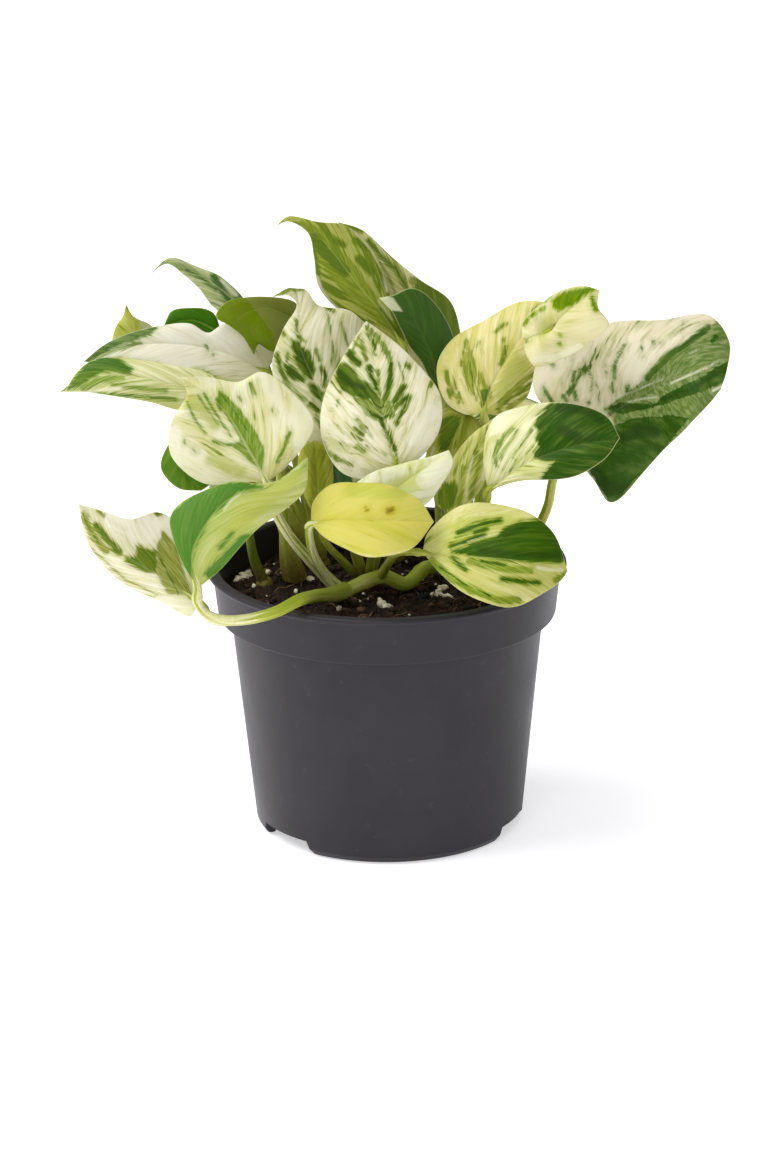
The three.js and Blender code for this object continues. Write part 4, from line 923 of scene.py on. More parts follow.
def inside_area(points, corners):
    inside = np.zeros(len(points), bool)
    for (u0, v0), (u1, v1) in zip(corners, corners[1:] + corners[:1]):
        crosses = (v0 > points[:, 1]) != (v1 > points[:, 1])
        reach = u0 + (points[:, 1] - v0) * (u1 - u0) / (v1 - v0 if v1 != v0 else TINY)
        inside ^= crosses & (points[:, 0] < reach)
    return inside


def mark_field(points, marks):
    """How far inside the marks of one kind each pixel point lies, in pixels."""
    field = np.full(len(points), FAR_OFF)
    for half_width, *numbers in marks:
        line = list(zip(numbers[::2], numbers[1::2]))
        if half_width:
            depth = half_width - line_distance(points, line)
        else:
            edge = line_distance(points, line + line[:1])
            depth = np.where(inside_area(points, line), edge, -edge)
        field = np.maximum(field, depth)
    return field


def add_object(name, data):
    obj = bpy.data.objects.new(name, data)
    bpy.context.scene.collection.objects.link(obj)
    return obj


def new_mesh_object(name, points_mm, faces, fields=None, smooth=True):
    mesh = bpy.data.meshes.new(name)
    mesh.from_pydata((np.asarray(points_mm) * MM).tolist(), [], faces)
    mesh.update()
    for field, values in (fields or {}).items():
        layer = mesh.attributes.new(field, "FLOAT", "POINT")
        layer.data.foreach_set("value", np.asarray(values, np.float32))
    if smooth:
        mesh.shade_smooth()
    return add_object(name, mesh)


def place_piece(piece, node, material):
    piece.data.materials.append(material)
    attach(piece, "root")
    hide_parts(node)


def funnel(pixels):
    """How far a small blade sinks to the throat of its funnel."""
    reach = np.linalg.norm((pixels - np.array(FUNNEL_THROAT)) / np.array(FUNNEL_SIZE), axis=-1)
    return FUNNEL_DEPTH * np.exp(-reach ** 2)


def blade_faces(rows, columns):
    """Faces of a closed blade: rows between a base and a tip point, above, below and round the edge."""
    tip = rows * columns + 1
    count = tip + 1

    def cell(row, column):
        return 1 + (row - 1) * columns + column

    faces = []
    for column in range(columns - 1):
        faces.append((0, cell(1, column + 1), cell(1, column)))
        for row in range(1, rows):
            near = (cell(row, column), cell(row, column + 1))
            far = (cell(row + 1, column + 1), cell(row + 1, column))
            faces.append(near + far)
        faces.append((cell(rows, column), cell(rows, column + 1), tip))
    faces += [tuple(corner + count for corner in reversed(face)) for face in faces]
    border = [0, *(cell(row, columns - 1) for row in range(1, rows + 1)), tip,
              *(cell(row, 0) for row in range(rows, 0, -1))]
    for start, end in zip(border, border[1:] + border[:1]):
        faces.append((end, start, start + count, end + count))
    return faces


def blade_mesh(name, seed):
    """A blade as a closed thin solid, with the fields that its material reads."""
    rib, margins, blade = blade_curves(name)
    draw = random.Random(seed)
    phases = [draw.uniform(0, FULL_TURN) for _ in range(4)]
    waves = draw.choice(WAVE_COUNTS)
    widest = max(np.linalg.norm(margin([0.5])[0] - rib([0.5])[0]) for margin in margins)
    steps = int(np.clip(rib.length / ROW_STEP, *ROW_LIMITS))
    columns = 2 * int(np.clip(widest / COLUMN_STEP, *HALF_COLUMN_LIMITS)) + 1
    across = np.linspace(-1, 1, columns)
    share = np.abs(across)
    half = (across >= 0).astype(int)
    along = np.linspace(0, 1, steps + 1)
    far = along[:, None]

    # The flat shape, from the midrib out to each margin
    rib_share = along ** VEIN_FAN
    middle = rib(rib_share)
    edges = [margin(along) for margin in margins]
    up = unit(np.cross(edges[1] - edges[0], tangent(rib, rib_share)))
    up[[0, -1]] = up[[1, -2]]
    half_width = np.stack([np.linalg.norm(edge - middle, axis=1) for edge in edges], -1)[:, half]
    out = half_width * share
    base = middle[:, None] + (np.stack(edges, 1)[:, half] - middle[:, None]) * share[None, :, None]

    # Its arch, the waves of its margin and its folds
    narrow = np.minimum(1, half_width / NARROW_HALF)
    arc = np.sin(math.pi * far)
    side_phase = np.array(phases)[half]
    wave = np.sin(FULL_TURN * waves * far + side_phase) * share ** WAVE_EDGE * arc * narrow
    (first_far, first_wide), (last_far, last_wide) = FOLD_WAVES
    folds = np.sin(first_far * math.pi * far + first_wide * across + phases[2])
    folds = folds * np.cos(last_far * math.pi * far - last_wide * across + phases[3])
    folds = FOLD_HEIGHT * folds * share * arc * narrow
    rise = np.array(blade.bow)[half] * half_width * 4 * share * (1 - share)
    rise = rise + WAVE_HEIGHT * wave + folds
    if name == "small_cup":
        rise = rise - funnel(to_pixels(base))
    surface = base + up[:, None] * rise[..., None]
    surface[0] = middle[0]
    surface[-1] = middle[-1]

    # Between the side veins the blade stands up a little, and the midrib lies in a groove
    slant = rib_share[:, None] * rib.length - blade.lean * out
    slant = np.where(slant < 0, FAN_REACH * slant / (out + FAN_CORE), slant)
    lateral = np.cos(FULL_TURN * slant / VEIN_SPACING + QUILT_PHASE * side_phase)
    quilt = -QUILT_HEIGHT * blade.relief * lateral * np.sin(math.pi * share) ** QUILT_POWER
    groove = -GROOVE_DEPTH * min(1, blade.relief / VEIN_RELIEF)
    groove = groove * np.exp(-(out / GROOVE_WIDTH) ** 2) * (1 - GROOVE_FADE * far)
    keel = KEEL_DEPTH * np.exp(-(out / KEEL_WIDTH) ** 2) * (1 - KEEL_FADE * far)

    normal = np.cross(np.gradient(surface, axis=1), np.gradient(surface, axis=0))
    normal[0] = normal[1].mean(axis=0)
    normal[-1] = normal[-2].mean(axis=0)
    normal = unit(normal)
    body = np.sin(math.pi * np.clip(far, *BODY_ENDS)) ** BODY_POWER
    thick = MARGIN_THICKNESS + (BLADE_THICKNESS - MARGIN_THICKNESS) * (1 - share ** 3) * body
    top = surface + normal * (thick / 2 + quilt + groove)[..., None]
    low = surface - normal * (thick / 2 - quilt + keel)[..., None]

    def flat(grid):
        return np.concatenate([grid[:1, 0], grid[1:-1].reshape(-1, *grid.shape[2:]), grid[-1:, 0]])

    grids = {
        "along": np.broadcast_to(far, out.shape),
        "across": np.broadcast_to(across, out.shape),
        "vein_a": slant,
        "vein_b": out,
        "rim": half_width * (1 - share),
    }
    fields = {field: np.tile(flat(grid), 2) for field, grid in grids.items()}
    pixels = to_pixels(flat(surface))
    fields["under"] = np.repeat([0.0, 1.0], len(pixels))
    for kind in MARK_KINDS:
        fields[kind] = np.tile(mark_field(pixels, MARKS.get(name, {}).get(kind, ())), 2)
    points = np.concatenate([flat(top), flat(low)])
    return new_mesh_object(f"blade_{name}", points, blade_faces(steps - 1, columns), fields)


def linear(code):
    """A colour code as the linear colour that a node takes."""
    parts = [int(code[i:i + 2], 16) / 255 for i in (0, 2, 4)]
    return tuple(p / 12.92 if p <= 0.04045 else ((p + 0.055) / 1.055) ** 2.4 for p in parts) + (1.0,)


class Nodes:
    """Short names for the nodes that the materials are built of."""

    def __init__(self, tree):
        self.tree = tree

    def put(self, socket, value):
        if isinstance(value, bpy.types.NodeSocket):
            self.tree.links.new(value, socket)
        elif isinstance(value, str):
            socket.default_value = linear(value)
        elif value is not None:
            socket.default_value = value

    def put_all(self, sockets, values):
        for socket, value in zip(sockets, values):
            self.put(socket, value)

    def new(self, kind, **settings):
        node = self.tree.nodes.new(kind)
        for key, value in settings.items():
            setattr(node, key, value)
        return node

    def math(self, operation, *values):
        node = self.new("ShaderNodeMath", operation=operation)
        self.put_all(node.inputs, values)
        return node.outputs[0]

    def add(self, total, *others):
        for other in others:
            total = self.math("ADD", total, other)
        return total

    def times(self, product, *others):
        for other in others:
            product = self.math("MULTIPLY", product, other)
        return product

    def highest(self, first, second):
        return self.math("MAXIMUM", first, second)

    def lowest(self, first, second):
        return self.math("MINIMUM", first, second)

    def swing(self, value, reach):
        """A noise about zero, made reach times as strong."""
        return self.times(self.add(value, -0.5), reach)

    def step(self, value, low, high, start=0.0, end=1.0):
        """A smooth step from start to end while the value goes from low to high."""
        node = self.new("ShaderNodeMapRange", interpolation_type="SMOOTHSTEP")
        self.put_all(node.inputs, (value, low, high, start, end))
        return node.outputs[0]

    def mix(self, share, first, second):
        node = self.new("ShaderNodeMix", data_type="RGBA")
        self.put_all((node.inputs[0], node.inputs[6], node.inputs[7]), (share, first, second))
        return node.outputs[2]

    def over(self, colour, share, *faded_tint):
        """The colour under a tint, which may first be mixed out of two."""
        tint = faded_tint[0] if len(faded_tint) == 1 else self.mix(*faded_tint)
        return self.mix(share, colour, tint)

    def vector(self, *parts):
        node = self.new("ShaderNodeCombineXYZ")
        self.put_all(node.inputs, parts)
        return node.outputs[0]

    def part(self, vector, axis):
        node = self.new("ShaderNodeSeparateXYZ")
        self.put(node.inputs[0], vector)
        return node.outputs[axis]

    def noise(self, vector, scale=1.0, detail=3.0, roughness=0.55):
        node = self.new("ShaderNodeTexNoise")
        sockets = [node.inputs[key] for key in ("Vector", "Scale", "Detail", "Roughness")]
        self.put_all(sockets, (vector, scale, detail, roughness))
        return node.outputs[0]

    def spots(self, vector, scale):
        node = self.new("ShaderNodeTexVoronoi")
        self.put_all((node.inputs["Vector"], node.inputs["Scale"]), (vector, scale))
        return node.outputs

    def field(self, name):
        return self.new("ShaderNodeAttribute", attribute_name=name).outputs["Fac"]

    def place(self):
        return self.new("ShaderNodeTexCoord").outputs["Object"]

    def bump(self, height, distance, strength=1.0):
        node = self.new("ShaderNodeBump")
        sockets = [node.inputs[key] for key in ("Strength", "Distance", "Height")]
        self.put_all(sockets, (strength, distance, height))
        return node.outputs[0]

    def surface(self, colour, roughness, normal=None, **settings):
        node = self.new("ShaderNodeBsdfPrincipled")
        self.put_all([node.inputs[key] for key in ("Base Color", "Roughness", "Normal")],
                     (colour, roughness, normal))
        for key, value in settings.items():
            node.inputs[key.replace("_", " ")].default_value = value
        return node.outputs[0]

    def finish(self, shader):
        self.put(self.new("ShaderNodeOutputMaterial").inputs["Surface"], shader)


def new_material(name):
    material = bpy.data.materials.new(name)
    material.use_nodes = True
    material.node_tree.nodes.clear()
    return material, Nodes(material.node_tree)


def leaf_pattern():
    """The node group that paints a blade: ground, greens, streaks, veins and margin."""
    group = bpy.data.node_groups.new("leaf_pattern", "ShaderNodeTree")
    n = Nodes(group)
    for field, kind in Look.__annotations__.items():
        socket_type = "NodeSocketColor" if kind is str else "NodeSocketFloat"
        group.interface.new_socket(field, in_out="INPUT", socket_type=socket_type)
    group.interface.new_socket("seed", in_out="INPUT", socket_type="NodeSocketFloat")
    for result, kind in (("colour", "Color"), ("roughness", "Float"), ("height", "Float")):
        group.interface.new_socket(result, in_out="OUTPUT", socket_type=f"NodeSocket{kind}")
    given = n.new("NodeGroupInput").outputs
    slant = n.field("vein_a")
    out = n.field("vein_b")
    along = n.field("along")
    seed = n.add(given["seed"], n.times(n.math("SIGN", n.field("across")), 4.7))

    # Noises drawn out along the side veins, from the finest to the broadest
    bend = n.noise(n.vector(n.times(slant, 0.1), n.times(out, 0.12), seed), detail=2.0)
    swung = n.add(slant, n.swing(bend, 7.0))

    def drawn(slant_scale, out_scale, shift, detail):
        where = n.vector(n.times(swung, slant_scale), n.times(out, out_scale), n.add(seed, shift))
        return n.noise(where, detail=detail)

    hairs = drawn(3.2, 0.34, 1.3, 2.0)
    streaks = drawn(1.0, 0.19, 2.1, 3.0)
    flecks = drawn(0.8, 0.42, 3.3, 4.0)
    blotches = drawn(0.36, 0.14, 5.9, 3.0)
    clouds = drawn(0.1, 0.08, 9.2, 2.0)

    # Greens: the placed marks, and blotches drawn by noise, both torn along the veins
    torn = n.add(n.swing(streaks, 6.0), n.swing(blotches, 6.0), n.swing(flecks, 9.0))
    torn = n.times(torn, given["tear"])
    chance = n.add(n.swing(blotches, 1.6), n.swing(clouds, 1.3), n.swing(streaks, 0.9),
                   n.swing(given["cover"], 0.9))
    chance = n.times(chance, 24.0)
    deep_field = n.highest(n.add(n.field("deep"), torn), n.add(chance, -2.2))
    deep = n.step(deep_field, -0.45, 0.65)
    green_field = n.add(n.highest(n.field("green"), n.add(n.field("deep"), 1.4)), torn)
    green_field = n.highest(green_field, chance)
    thin = n.add(n.times(flecks, 0.6), n.times(hairs, 0.4))
    green = n.times(n.step(green_field, -1.5, 1.0), n.step(thin, 0.36, 0.54, 0.68, 0.97))
    halo = n.times(n.step(n.add(green_field, n.swing(streaks, 12.0)), -7.0, 0.0), 0.42)

    # Thin green hairs on the pale ground, thicker near the greens
    fine = n.step(n.add(n.times(hairs, 0.5), n.times(streaks, 0.5)), 0.52, 0.62)
    fine = n.times(fine, n.step(green_field, -20.0, 0.0, 0.3, 1.0),
                   n.lowest(n.times(given["streaks"], 1.2), 0.85), n.step(clouds, 0.38, 0.6, 0.25, 1.0))

    # The pale ground of two colours, with lime patches and light hairs
    lengthwise = n.lowest(given["streaks"], 0.5)
    shape = n.add(n.times(blotches, lengthwise), n.times(clouds, n.add(1.0, n.times(lengthwise, -1.0))))
    tint = n.step(n.add(shape, n.swing(given["tint_share"], 0.5)), 0.38, 0.62)
    ground = n.mix(tint, given["ground"], given["tint"])
    streaked = n.times(n.step(streaks, 0.46, 0.66), n.times(given["streaks"], 0.5))
    ground = n.over(ground, streaked, 0.5, given["tint"], STREAK_TINT)
    lime = n.step(n.add(n.field("lime"), n.swing(blotches, 12.0)), -5.0, 3.5)
    ground = n.over(ground, n.times(lime, 0.75), LIME_TINT)
    light_hairs = n.times(n.step(hairs, 0.4, 0.7), n.add(0.1, n.times(lengthwise, 0.6)))
    ground = n.over(ground, light_hairs, 0.5, ground, HAIR_TINT)
    shade = n.times(n.step(out, 10.0, 0.0), n.step(blotches, 0.35, 0.6, 0.1, 0.5))
    ground = n.over(ground, shade, given["tint"])
    ground = n.over(ground, n.step(along, 0.3, 0.0, 0.0, 0.4), BASE_TINT)

    # The greens over it, from the palest to the darkest, and the pale marks over those
    colour = n.over(ground, halo, 0.5, given["green"], given["tint"])
    colour = n.over(colour, fine, 0.35, given["green"], given["tint"])
    mottle = n.step(n.add(flecks, n.swing(hairs, 0.4)), 0.42, 0.62)
    colour = n.over(colour, green, n.times(mottle, 0.45), given["green"], given["deep"])
    faded = n.times(n.step(blotches, 0.46, 0.68), given["fade"])
    deep_green = n.mix(faded, given["deep"], given["green"])
    faded = n.times(n.step(streaks, 0.55, 0.75), n.times(given["fade"], 0.6))
    deep_green = n.over(deep_green, faded, given["green"])
    dark = n.step(n.add(n.field("dark"), n.times(torn, 0.6)), -3.0, 2.5)
    deep_green = n.over(deep_green, n.times(dark, 0.75), 0.6, given["deep"], DARK_TINT)
    # On the olive blade the deep area is painted shade on the half beyond its midrib fold
    colour = n.over(colour, n.times(deep, 0.95), deep_green)
    # Pale marks are mostly the blades' own pale colour; on the small cupped blade the pale band is a
    # painted highlight, and on the striped blade the pale line is partly one
    pale = n.step(n.add(n.field("pale"), n.times(torn, 0.4)), -1.5, 1.3)
    colour = n.over(colour, n.times(pale, 0.85), 0.45, ground, PALE_TINT)

    # Brown-green specks
    speck = n.spots(n.vector(n.times(slant, 0.75), n.times(out, 0.3), seed), 1.0)
    specks = n.times(n.step(speck["Distance"], 0.11, 0.06), n.step(speck["Color"], 0.6, 0.63))
    colour = n.over(colour, n.times(specks, given["streaks"], 0.9), SPECK_TINT)

    # Veins: a pale midrib that thins to the tip, and faint side veins
    width = n.step(along, 0.0, 1.0, 1.0, 0.35)
    midrib = n.step(out, n.times(width, 0.75), n.times(width, 0.3))
    midrib = n.times(midrib, n.step(along, 0.35, 0.9, 1.0, 0.25))
    colour = n.over(colour, n.times(midrib, given["rib"]), 0.35, ground, RIB_TINT)
    wave = n.math("COSINE", n.times(n.add(slant, n.swing(blotches, 1.6)), FULL_TURN / VEIN_SPACING))
    lateral = n.times(n.step(wave, 0.965, 1.0), n.step(out, 0.5, 2.5))
    colour = n.over(colour, n.times(lateral, n.times(given["rib"], 0.22)), 0.5, colour, VEIN_TINT)
    margin = n.step(n.field("rim"), 0.34, 0.1)
    colour = n.over(colour, n.times(margin, 0.6), 0.35, ground, MARGIN_TINT)
    under = n.field("under")
    colour = n.over(colour, n.times(under, 0.32), 0.6, colour, UNDER_TINT)
    vivid = n.new("ShaderNodeHueSaturation")
    n.put_all((vivid.inputs["Saturation"], vivid.inputs["Color"]), (1.06, colour))

    height = n.add(n.times(wave, n.times(given["rib"], -0.45)), n.times(streaks, 0.5), n.times(hairs, 0.25),
                   n.times(midrib, -0.8, n.add(1.0, n.times(under, -2.0))))
    roughness = n.add(n.step(streaks, 0.3, 0.7, 0.36, 0.46), n.times(under, 0.14))
    n.put_all(n.new("NodeGroupOutput").inputs, (vivid.outputs[0], roughness, height))
    return group


def leaf_material(name, group, seed):
    material, n = new_material(f"leaf_{name}")
    pattern = n.new("ShaderNodeGroup", node_tree=group)
    n.put_all(pattern.inputs, (*LOOKS[name], seed * 3.1))
    colour, roughness, height = pattern.outputs
    skin = n.surface(colour, roughness, n.bump(height, 0.00022, 0.55), Subsurface_Weight=0.12,
                     Subsurface_Scale=0.001, Specular_IOR_Level=0.09)
    glow = n.new("ShaderNodeBsdfTranslucent")
    n.put(glow.inputs["Color"], n.mix(0.07, colour, GLOW_TINT))
    blend = n.new("ShaderNodeMixShader")
    n.put_all(blend.inputs, (0.2, skin, glow.outputs[0]))
    n.finish(blend.outputs[0])
    return material


def make_blades():
    group = leaf_pattern()
    for seed, name in enumerate([*SEEN_BLADES, *HIDDEN_BLADES], start=1):
        place_piece(blade_mesh(name, seed), f"leaf_{name}", leaf_material(name, group, seed))


def tube(points, radii, sides=STALK_SIDES):
    """Rings round a line of points, with a cap at each end, as points and faces."""
    points = np.asarray(points, float)
    heading = unit(np.gradient(points, axis=0))
    across = unit(np.cross(heading[0], [0.31, 0.17, 0.93]))
    angles = (np.arange(sides) * FULL_TURN / sides)[:, None]
    rings = []
    for centre, ahead, radius in zip(points, heading, radii):
        across = unit(across - ahead * (across @ ahead))
        ring = across * np.cos(angles) + np.cross(ahead, across) * np.sin(angles)
        rings.append(centre + ring * radius)
    last = (len(points) - 1) * sides
    cap = last + sides
    faces = []
    for low in range(0, last, sides):
        for i in range(sides):
            j = (i + 1) % sides
            faces.append((low + i, low + j, low + sides + j, low + sides + i))
    for i in range(sides):
        j = (i + 1) % sides
        faces.append((cap, j, i))
        faces.append((cap + 1, last + i, last + j))
    return np.vstack([*rings, points[:1], points[-1:]]), faces


def stalk_line(stalk):
    """A stalk's points, how far along each lies, and where its blade starts."""
    points = list(stalk.path)
    tail = []
    if stalk.to:
        rib, margins, _ = blade_curves(stalk.to)
        shares, depths = np.array(UNDER_RIB).T
        edges = [margin(shares + MARGIN_AHEAD) for margin in margins]
        down = -unit(np.cross(edges[1] - edges[0], tangent(rib, shares)))
        down[0] = down[1]
        tail = list(rib(shares) + down * depths[:, None])
    curve = smooth_line(points + tail)
    reach = smooth_line(points + tail[:1]).length if tail else curve.length
    steps = max(6, int(curve.length / STALK_STEP))
    shares = np.linspace(0, 1, steps + 1)
    return curve(shares), shares * curve.length, reach


def stalk_radii(stalk, run, reach):
    if not stalk.to:
        from_node = (run + NODE_START) % NODE_SPACING - NODE_SPACING / 2
        return stalk.radius * (1 + NODE_SWELLING * np.exp(-(from_node / NODE_LENGTH) ** 2))
    taper = stalk.radius * (FOOT_SCALE - stalk.slim * np.clip(run / reach, 0, 1))
    swelling = SWELLING * np.exp(-((run - reach + SWELLING_BELOW) / SWELLING_LENGTH) ** 2)
    sheath = stalk.sheath * np.exp(-(run / SHEATH_HEIGHT) ** 2)
    past = np.clip((run - reach) / max(run[-1] - reach, 1e-6), 0, 1)
    return taper * (1 + swelling + sheath) * (1 - TIP_TAPER * past)


def stem_parts(name, crowns, stalks):
    """The points, radii, brown, seed and cream of each crown and stalk of a stem."""
    for order, (x, y, top) in enumerate(crowns):
        heights = np.linspace(STEM_HOLE_FLOOR, top - CROWN_DROP, CROWN_RINGS)
        flat = np.zeros(CROWN_RINGS)
        dome = np.sqrt(np.clip((top - CROWN_DROP - heights) / (CROWN_DOME - CROWN_DROP), 0, 1))
        radii = CROWN_TIP + (CROWN_RADIUS - CROWN_SLACK) * np.where(heights > top - CROWN_DOME, dome, 1)
        line = np.stack([flat + x, flat + y, heights], -1)
        yield line, radii, flat + BROWN, order + CROWN_SEED, flat
    for order, stalk in enumerate(stalks):
        line, run, reach = stalk_line(stalk)
        low = np.clip((BROWN_TOP + stalk.husk - line[:, 2]) / (BROWN_FADE + stalk.husk), 0, 1)
        brown = BROWN * low ** BROWN_POWER if stalk.to and name != "runner" else RUNNER_BROWN * low
        cream = np.full(len(line), float(stalk.cream))
        if name == "runner":
            start, length, most = RUNNER_CREAM
            cream = np.maximum(cream, np.clip((start - line[:, 0]) / length, 0, most))
        yield line, stalk_radii(stalk, run, reach), brown, order * STALK_SEED, cream


def make_stems():
    material = stem_material()
    angles = np.arange(STALK_SIDES) * FULL_TURN / STALK_SIDES
    for name, (crowns, stalks) in STEMS.items():
        verts = []
        faces = []
        fields = {"run": [], "brown": [], "seed": [], "cream": [], "turn_x": [], "turn_y": []}
        for line, radii, brown, seed, cream in stem_parts(name, crowns, stalks):
            first = sum(len(ring) for ring in verts)
            ring, quads = tube(line, radii)
            verts.append(ring)
            faces.extend(tuple(i + first for i in quad) for quad in quads)
            rows = {"run": line_run(line), "brown": brown, "seed": np.full(len(line), seed), "cream": cream}
            for key, values in rows.items():
                fields[key].append(np.concatenate([np.repeat(values, STALK_SIDES), values[[0, -1]]]))
            for key, values in (("turn_x", np.cos(angles)), ("turn_y", np.sin(angles))):
                fields[key].append(np.concatenate([np.tile(values, len(line)), [0, 0]]))
        fields = {key: np.concatenate(values) for key, values in fields.items()}
        stem = new_mesh_object(f"stalks_{name}", np.vstack(verts), faces, fields)
        place_piece(stem, f"stem_{name}", material)


def stem_material():
    material, n = new_material("stem_skin")
    where = n.place()
    around = n.vector(n.times(n.field("turn_x"), 1.5), n.times(n.field("turn_y"), 1.5),
                      n.add(n.times(n.field("run"), 0.04), n.times(n.field("seed"), 3.7)))
    stripes = n.noise(around)
    fibre = n.noise(where, 900.0)
    patch = n.noise(where, 95.0)
    above = n.step(n.part(n.new("ShaderNodeNewGeometry").outputs["Normal"], "Z"), -0.2, 0.75)
    colour = n.mix(n.step(n.add(stripes, n.times(patch, 0.3)), 0.5, 0.78), "90a01e", "bebe5c")
    colour = n.over(colour, n.times(above, 0.65), "869818")
    cream = n.step(n.add(n.field("cream"), n.swing(stripes, 2.2)), 0.3, 0.62)
    cream = n.times(cream, n.add(1.0, n.times(above, -0.3)))
    colour = n.over(colour, n.times(cream, 0.85), "e9e4b8")
    colour = n.over(colour, n.step(n.field("cream"), -0.2, -0.9, 0.0, 0.75), "66801e")
    brown = n.step(n.add(n.field("brown"), n.swing(stripes, 0.9)), 0.25, 0.85)
    colour = n.over(colour, n.times(brown, 0.85), n.step(fibre, 0.35, 0.65), "8a7440", "5e4824")
    colour = n.over(colour, n.step(fibre, 0.45, 0.75, 0.0, 0.25), "7d8c36")
    height = n.add(n.times(fibre, 0.4), n.times(stripes, 1.4))
    n.finish(n.surface(colour, n.step(patch, 0.3, 0.7, 0.36, 0.5), n.bump(height, 0.0003, 0.5),
                       Subsurface_Weight=0.15, Subsurface_Scale=0.001, Specular_IOR_Level=0.25))
    return material


def turned(low, rings, top, sides):
    """A closed turned body: its ends on the axis, and between them rings of a radius and a height,
    which may be a function of the place."""
    verts = [(0, 0, low)]
    for radius, height in rings:
        for i in range(sides):
            x, y = polar(radius, FULL_TURN * i / sides)
            verts.append((x, y, height(x, y) if callable(height) else height))
    verts.append((0, 0, top))
    faces = []
    last = 1 + (len(rings) - 1) * sides
    for i in range(sides):
        j = (i + 1) % sides
        faces.append((0, 1 + j, 1 + i))
        for ring in range(1, last, sides):
            faces.append((ring + i, ring + j, ring + sides + j, ring + sides + i))
        faces.append((last + i, last + j, len(verts) - 1))
    return verts, faces


def rounded(profile):
    """The profile with each inner corner cut to a small arc."""
    points = [np.array(point, float) for point in profile]
    result = [points[0]]
    for before, corner, after in zip(points, points[1:], points[2:]):
        back = before - corner
        ahead = after - corner
        reach = min(ROUNDING, 0.45 * np.linalg.norm(back), 0.45 * np.linalg.norm(ahead))
        start = corner + unit(back) * reach
        end = corner + unit(ahead) * reach
        for t in np.linspace(0, 1, ROUNDING_STEPS + 1):
            result.append((1 - t) ** 2 * start + 2 * t * (1 - t) * corner + t ** 2 * end)
    return [*result, points[-1]]


def notch_cutter(bearing):
    """A tapered block that cuts one notch into the foot ring."""
    angle = math.radians(bearing)
    outline = [(-NOTCH_HALF_LOW, -1), (NOTCH_HALF_LOW, -1), (NOTCH_HALF_TOP, NOTCH_HEIGHT),
               (-NOTCH_HALF_TOP, NOTCH_HEIGHT)]
    inner = NOTCH_INSET - FOOT_RADIUS
    corners = []
    for depth in (inner, inner - NOTCH_DEPTH):
        for x, z in outline:
            corners.append((x * math.cos(angle) - depth * math.sin(angle),
                            x * math.sin(angle) + depth * math.cos(angle), z))
    sides = [(0, 1, 2, 3), (7, 6, 5, 4), (0, 4, 5, 1), (1, 5, 6, 2), (2, 6, 7, 3), (3, 7, 4, 0)]
    return new_mesh_object("notch_cutter", corners, sides, smooth=False)


def drain_cutter(turn):
    """A peg that cuts one drain hole into the floor."""
    x = DRAIN_CIRCLE * math.sin(turn)
    y = -DRAIN_CIRCLE * math.cos(turn)
    line = [(x, y, FLOOR_TOP - DRAIN_REACH), (x, y, FLOOR_TOP + DRAIN_REACH)]
    peg = tube(line, [DRAIN_HOLE_RADIUS] * 2, DRAIN_HOLE_SIDES)
    return new_mesh_object("drain_cutter", *peg, smooth=False)


def cut(body, cutter):
    shape = bmesh.new()
    shape.from_mesh(cutter.data)
    bmesh.ops.recalc_face_normals(shape, faces=shape.faces)
    shape.to_mesh(cutter.data)
    shape.free()
    change = body.modifiers.new("cut", "BOOLEAN")
    change.operation = "DIFFERENCE"
    change.solver = "EXACT"
    change.object = cutter


def make_pot():
    lip_low = POT_HEIGHT - RIM_LIP
    band_inner = BAND_TOP_RADIUS - WALL
    low, *rings, top = rounded([
        (0, FLOOR_LOW),
        (FOOT_RADIUS - FOOT_WIDTH, FLOOR_LOW),
        (FOOT_RADIUS - FOOT_WIDTH, 0),
        (FOOT_RADIUS, 0),
        *((FOOT_RADIUS + out, height) for out, height in FOOT_FLARE),
        (WALL_LOW_RADIUS, WALL_LOW),
        (WALL_TOP_RADIUS, BAND_LOW),
        (BAND_LOW_RADIUS - CORNER / 2, BAND_LOW),
        (BAND_LOW_RADIUS, BAND_LOW + CORNER),
        (BAND_TOP_RADIUS, lip_low - CORNER),
        (RIM_RADIUS - CORNER, lip_low),
        (RIM_RADIUS, lip_low + CORNER),
        (RIM_RADIUS, POT_HEIGHT - CORNER),
        (RIM_RADIUS - CORNER, POT_HEIGHT),
        (band_inner, POT_HEIGHT),
        (band_inner - CORNER, POT_HEIGHT - CORNER),
        (BAND_LOW_RADIUS - WALL, BAND_LOW + STEP_RISE),
        (WALL_TOP_RADIUS - WALL, BAND_LOW - STEP_DROP),
        (WALL_LOW_RADIUS - WALL, FLOOR_TOP),
        (0, FLOOR_TOP),
    ])
    body = new_mesh_object("pot_body", *turned(low[1], rings, top[1], POT_SIDES))
    cutters = [notch_cutter(bearing) for bearing in NOTCH_BEARINGS]
    cutters += [drain_cutter(FULL_TURN * i / DRAIN_HOLES) for i in range(DRAIN_HOLES)]
    for cutter in cutters:
        cut(body, cutter)
    graph = bpy.context.evaluated_depsgraph_get()
    shell = bpy.data.meshes.new_from_object(body.evaluated_get(graph))
    for obj in [body, *cutters]:
        bpy.data.objects.remove(obj)
    shell.shade_smooth()
    shell.set_sharp_from_angle(angle=SHARP_ANGLE)
    shell.materials.clear()
    place_piece(add_object("pot_shell", shell), "pot", pot_material())


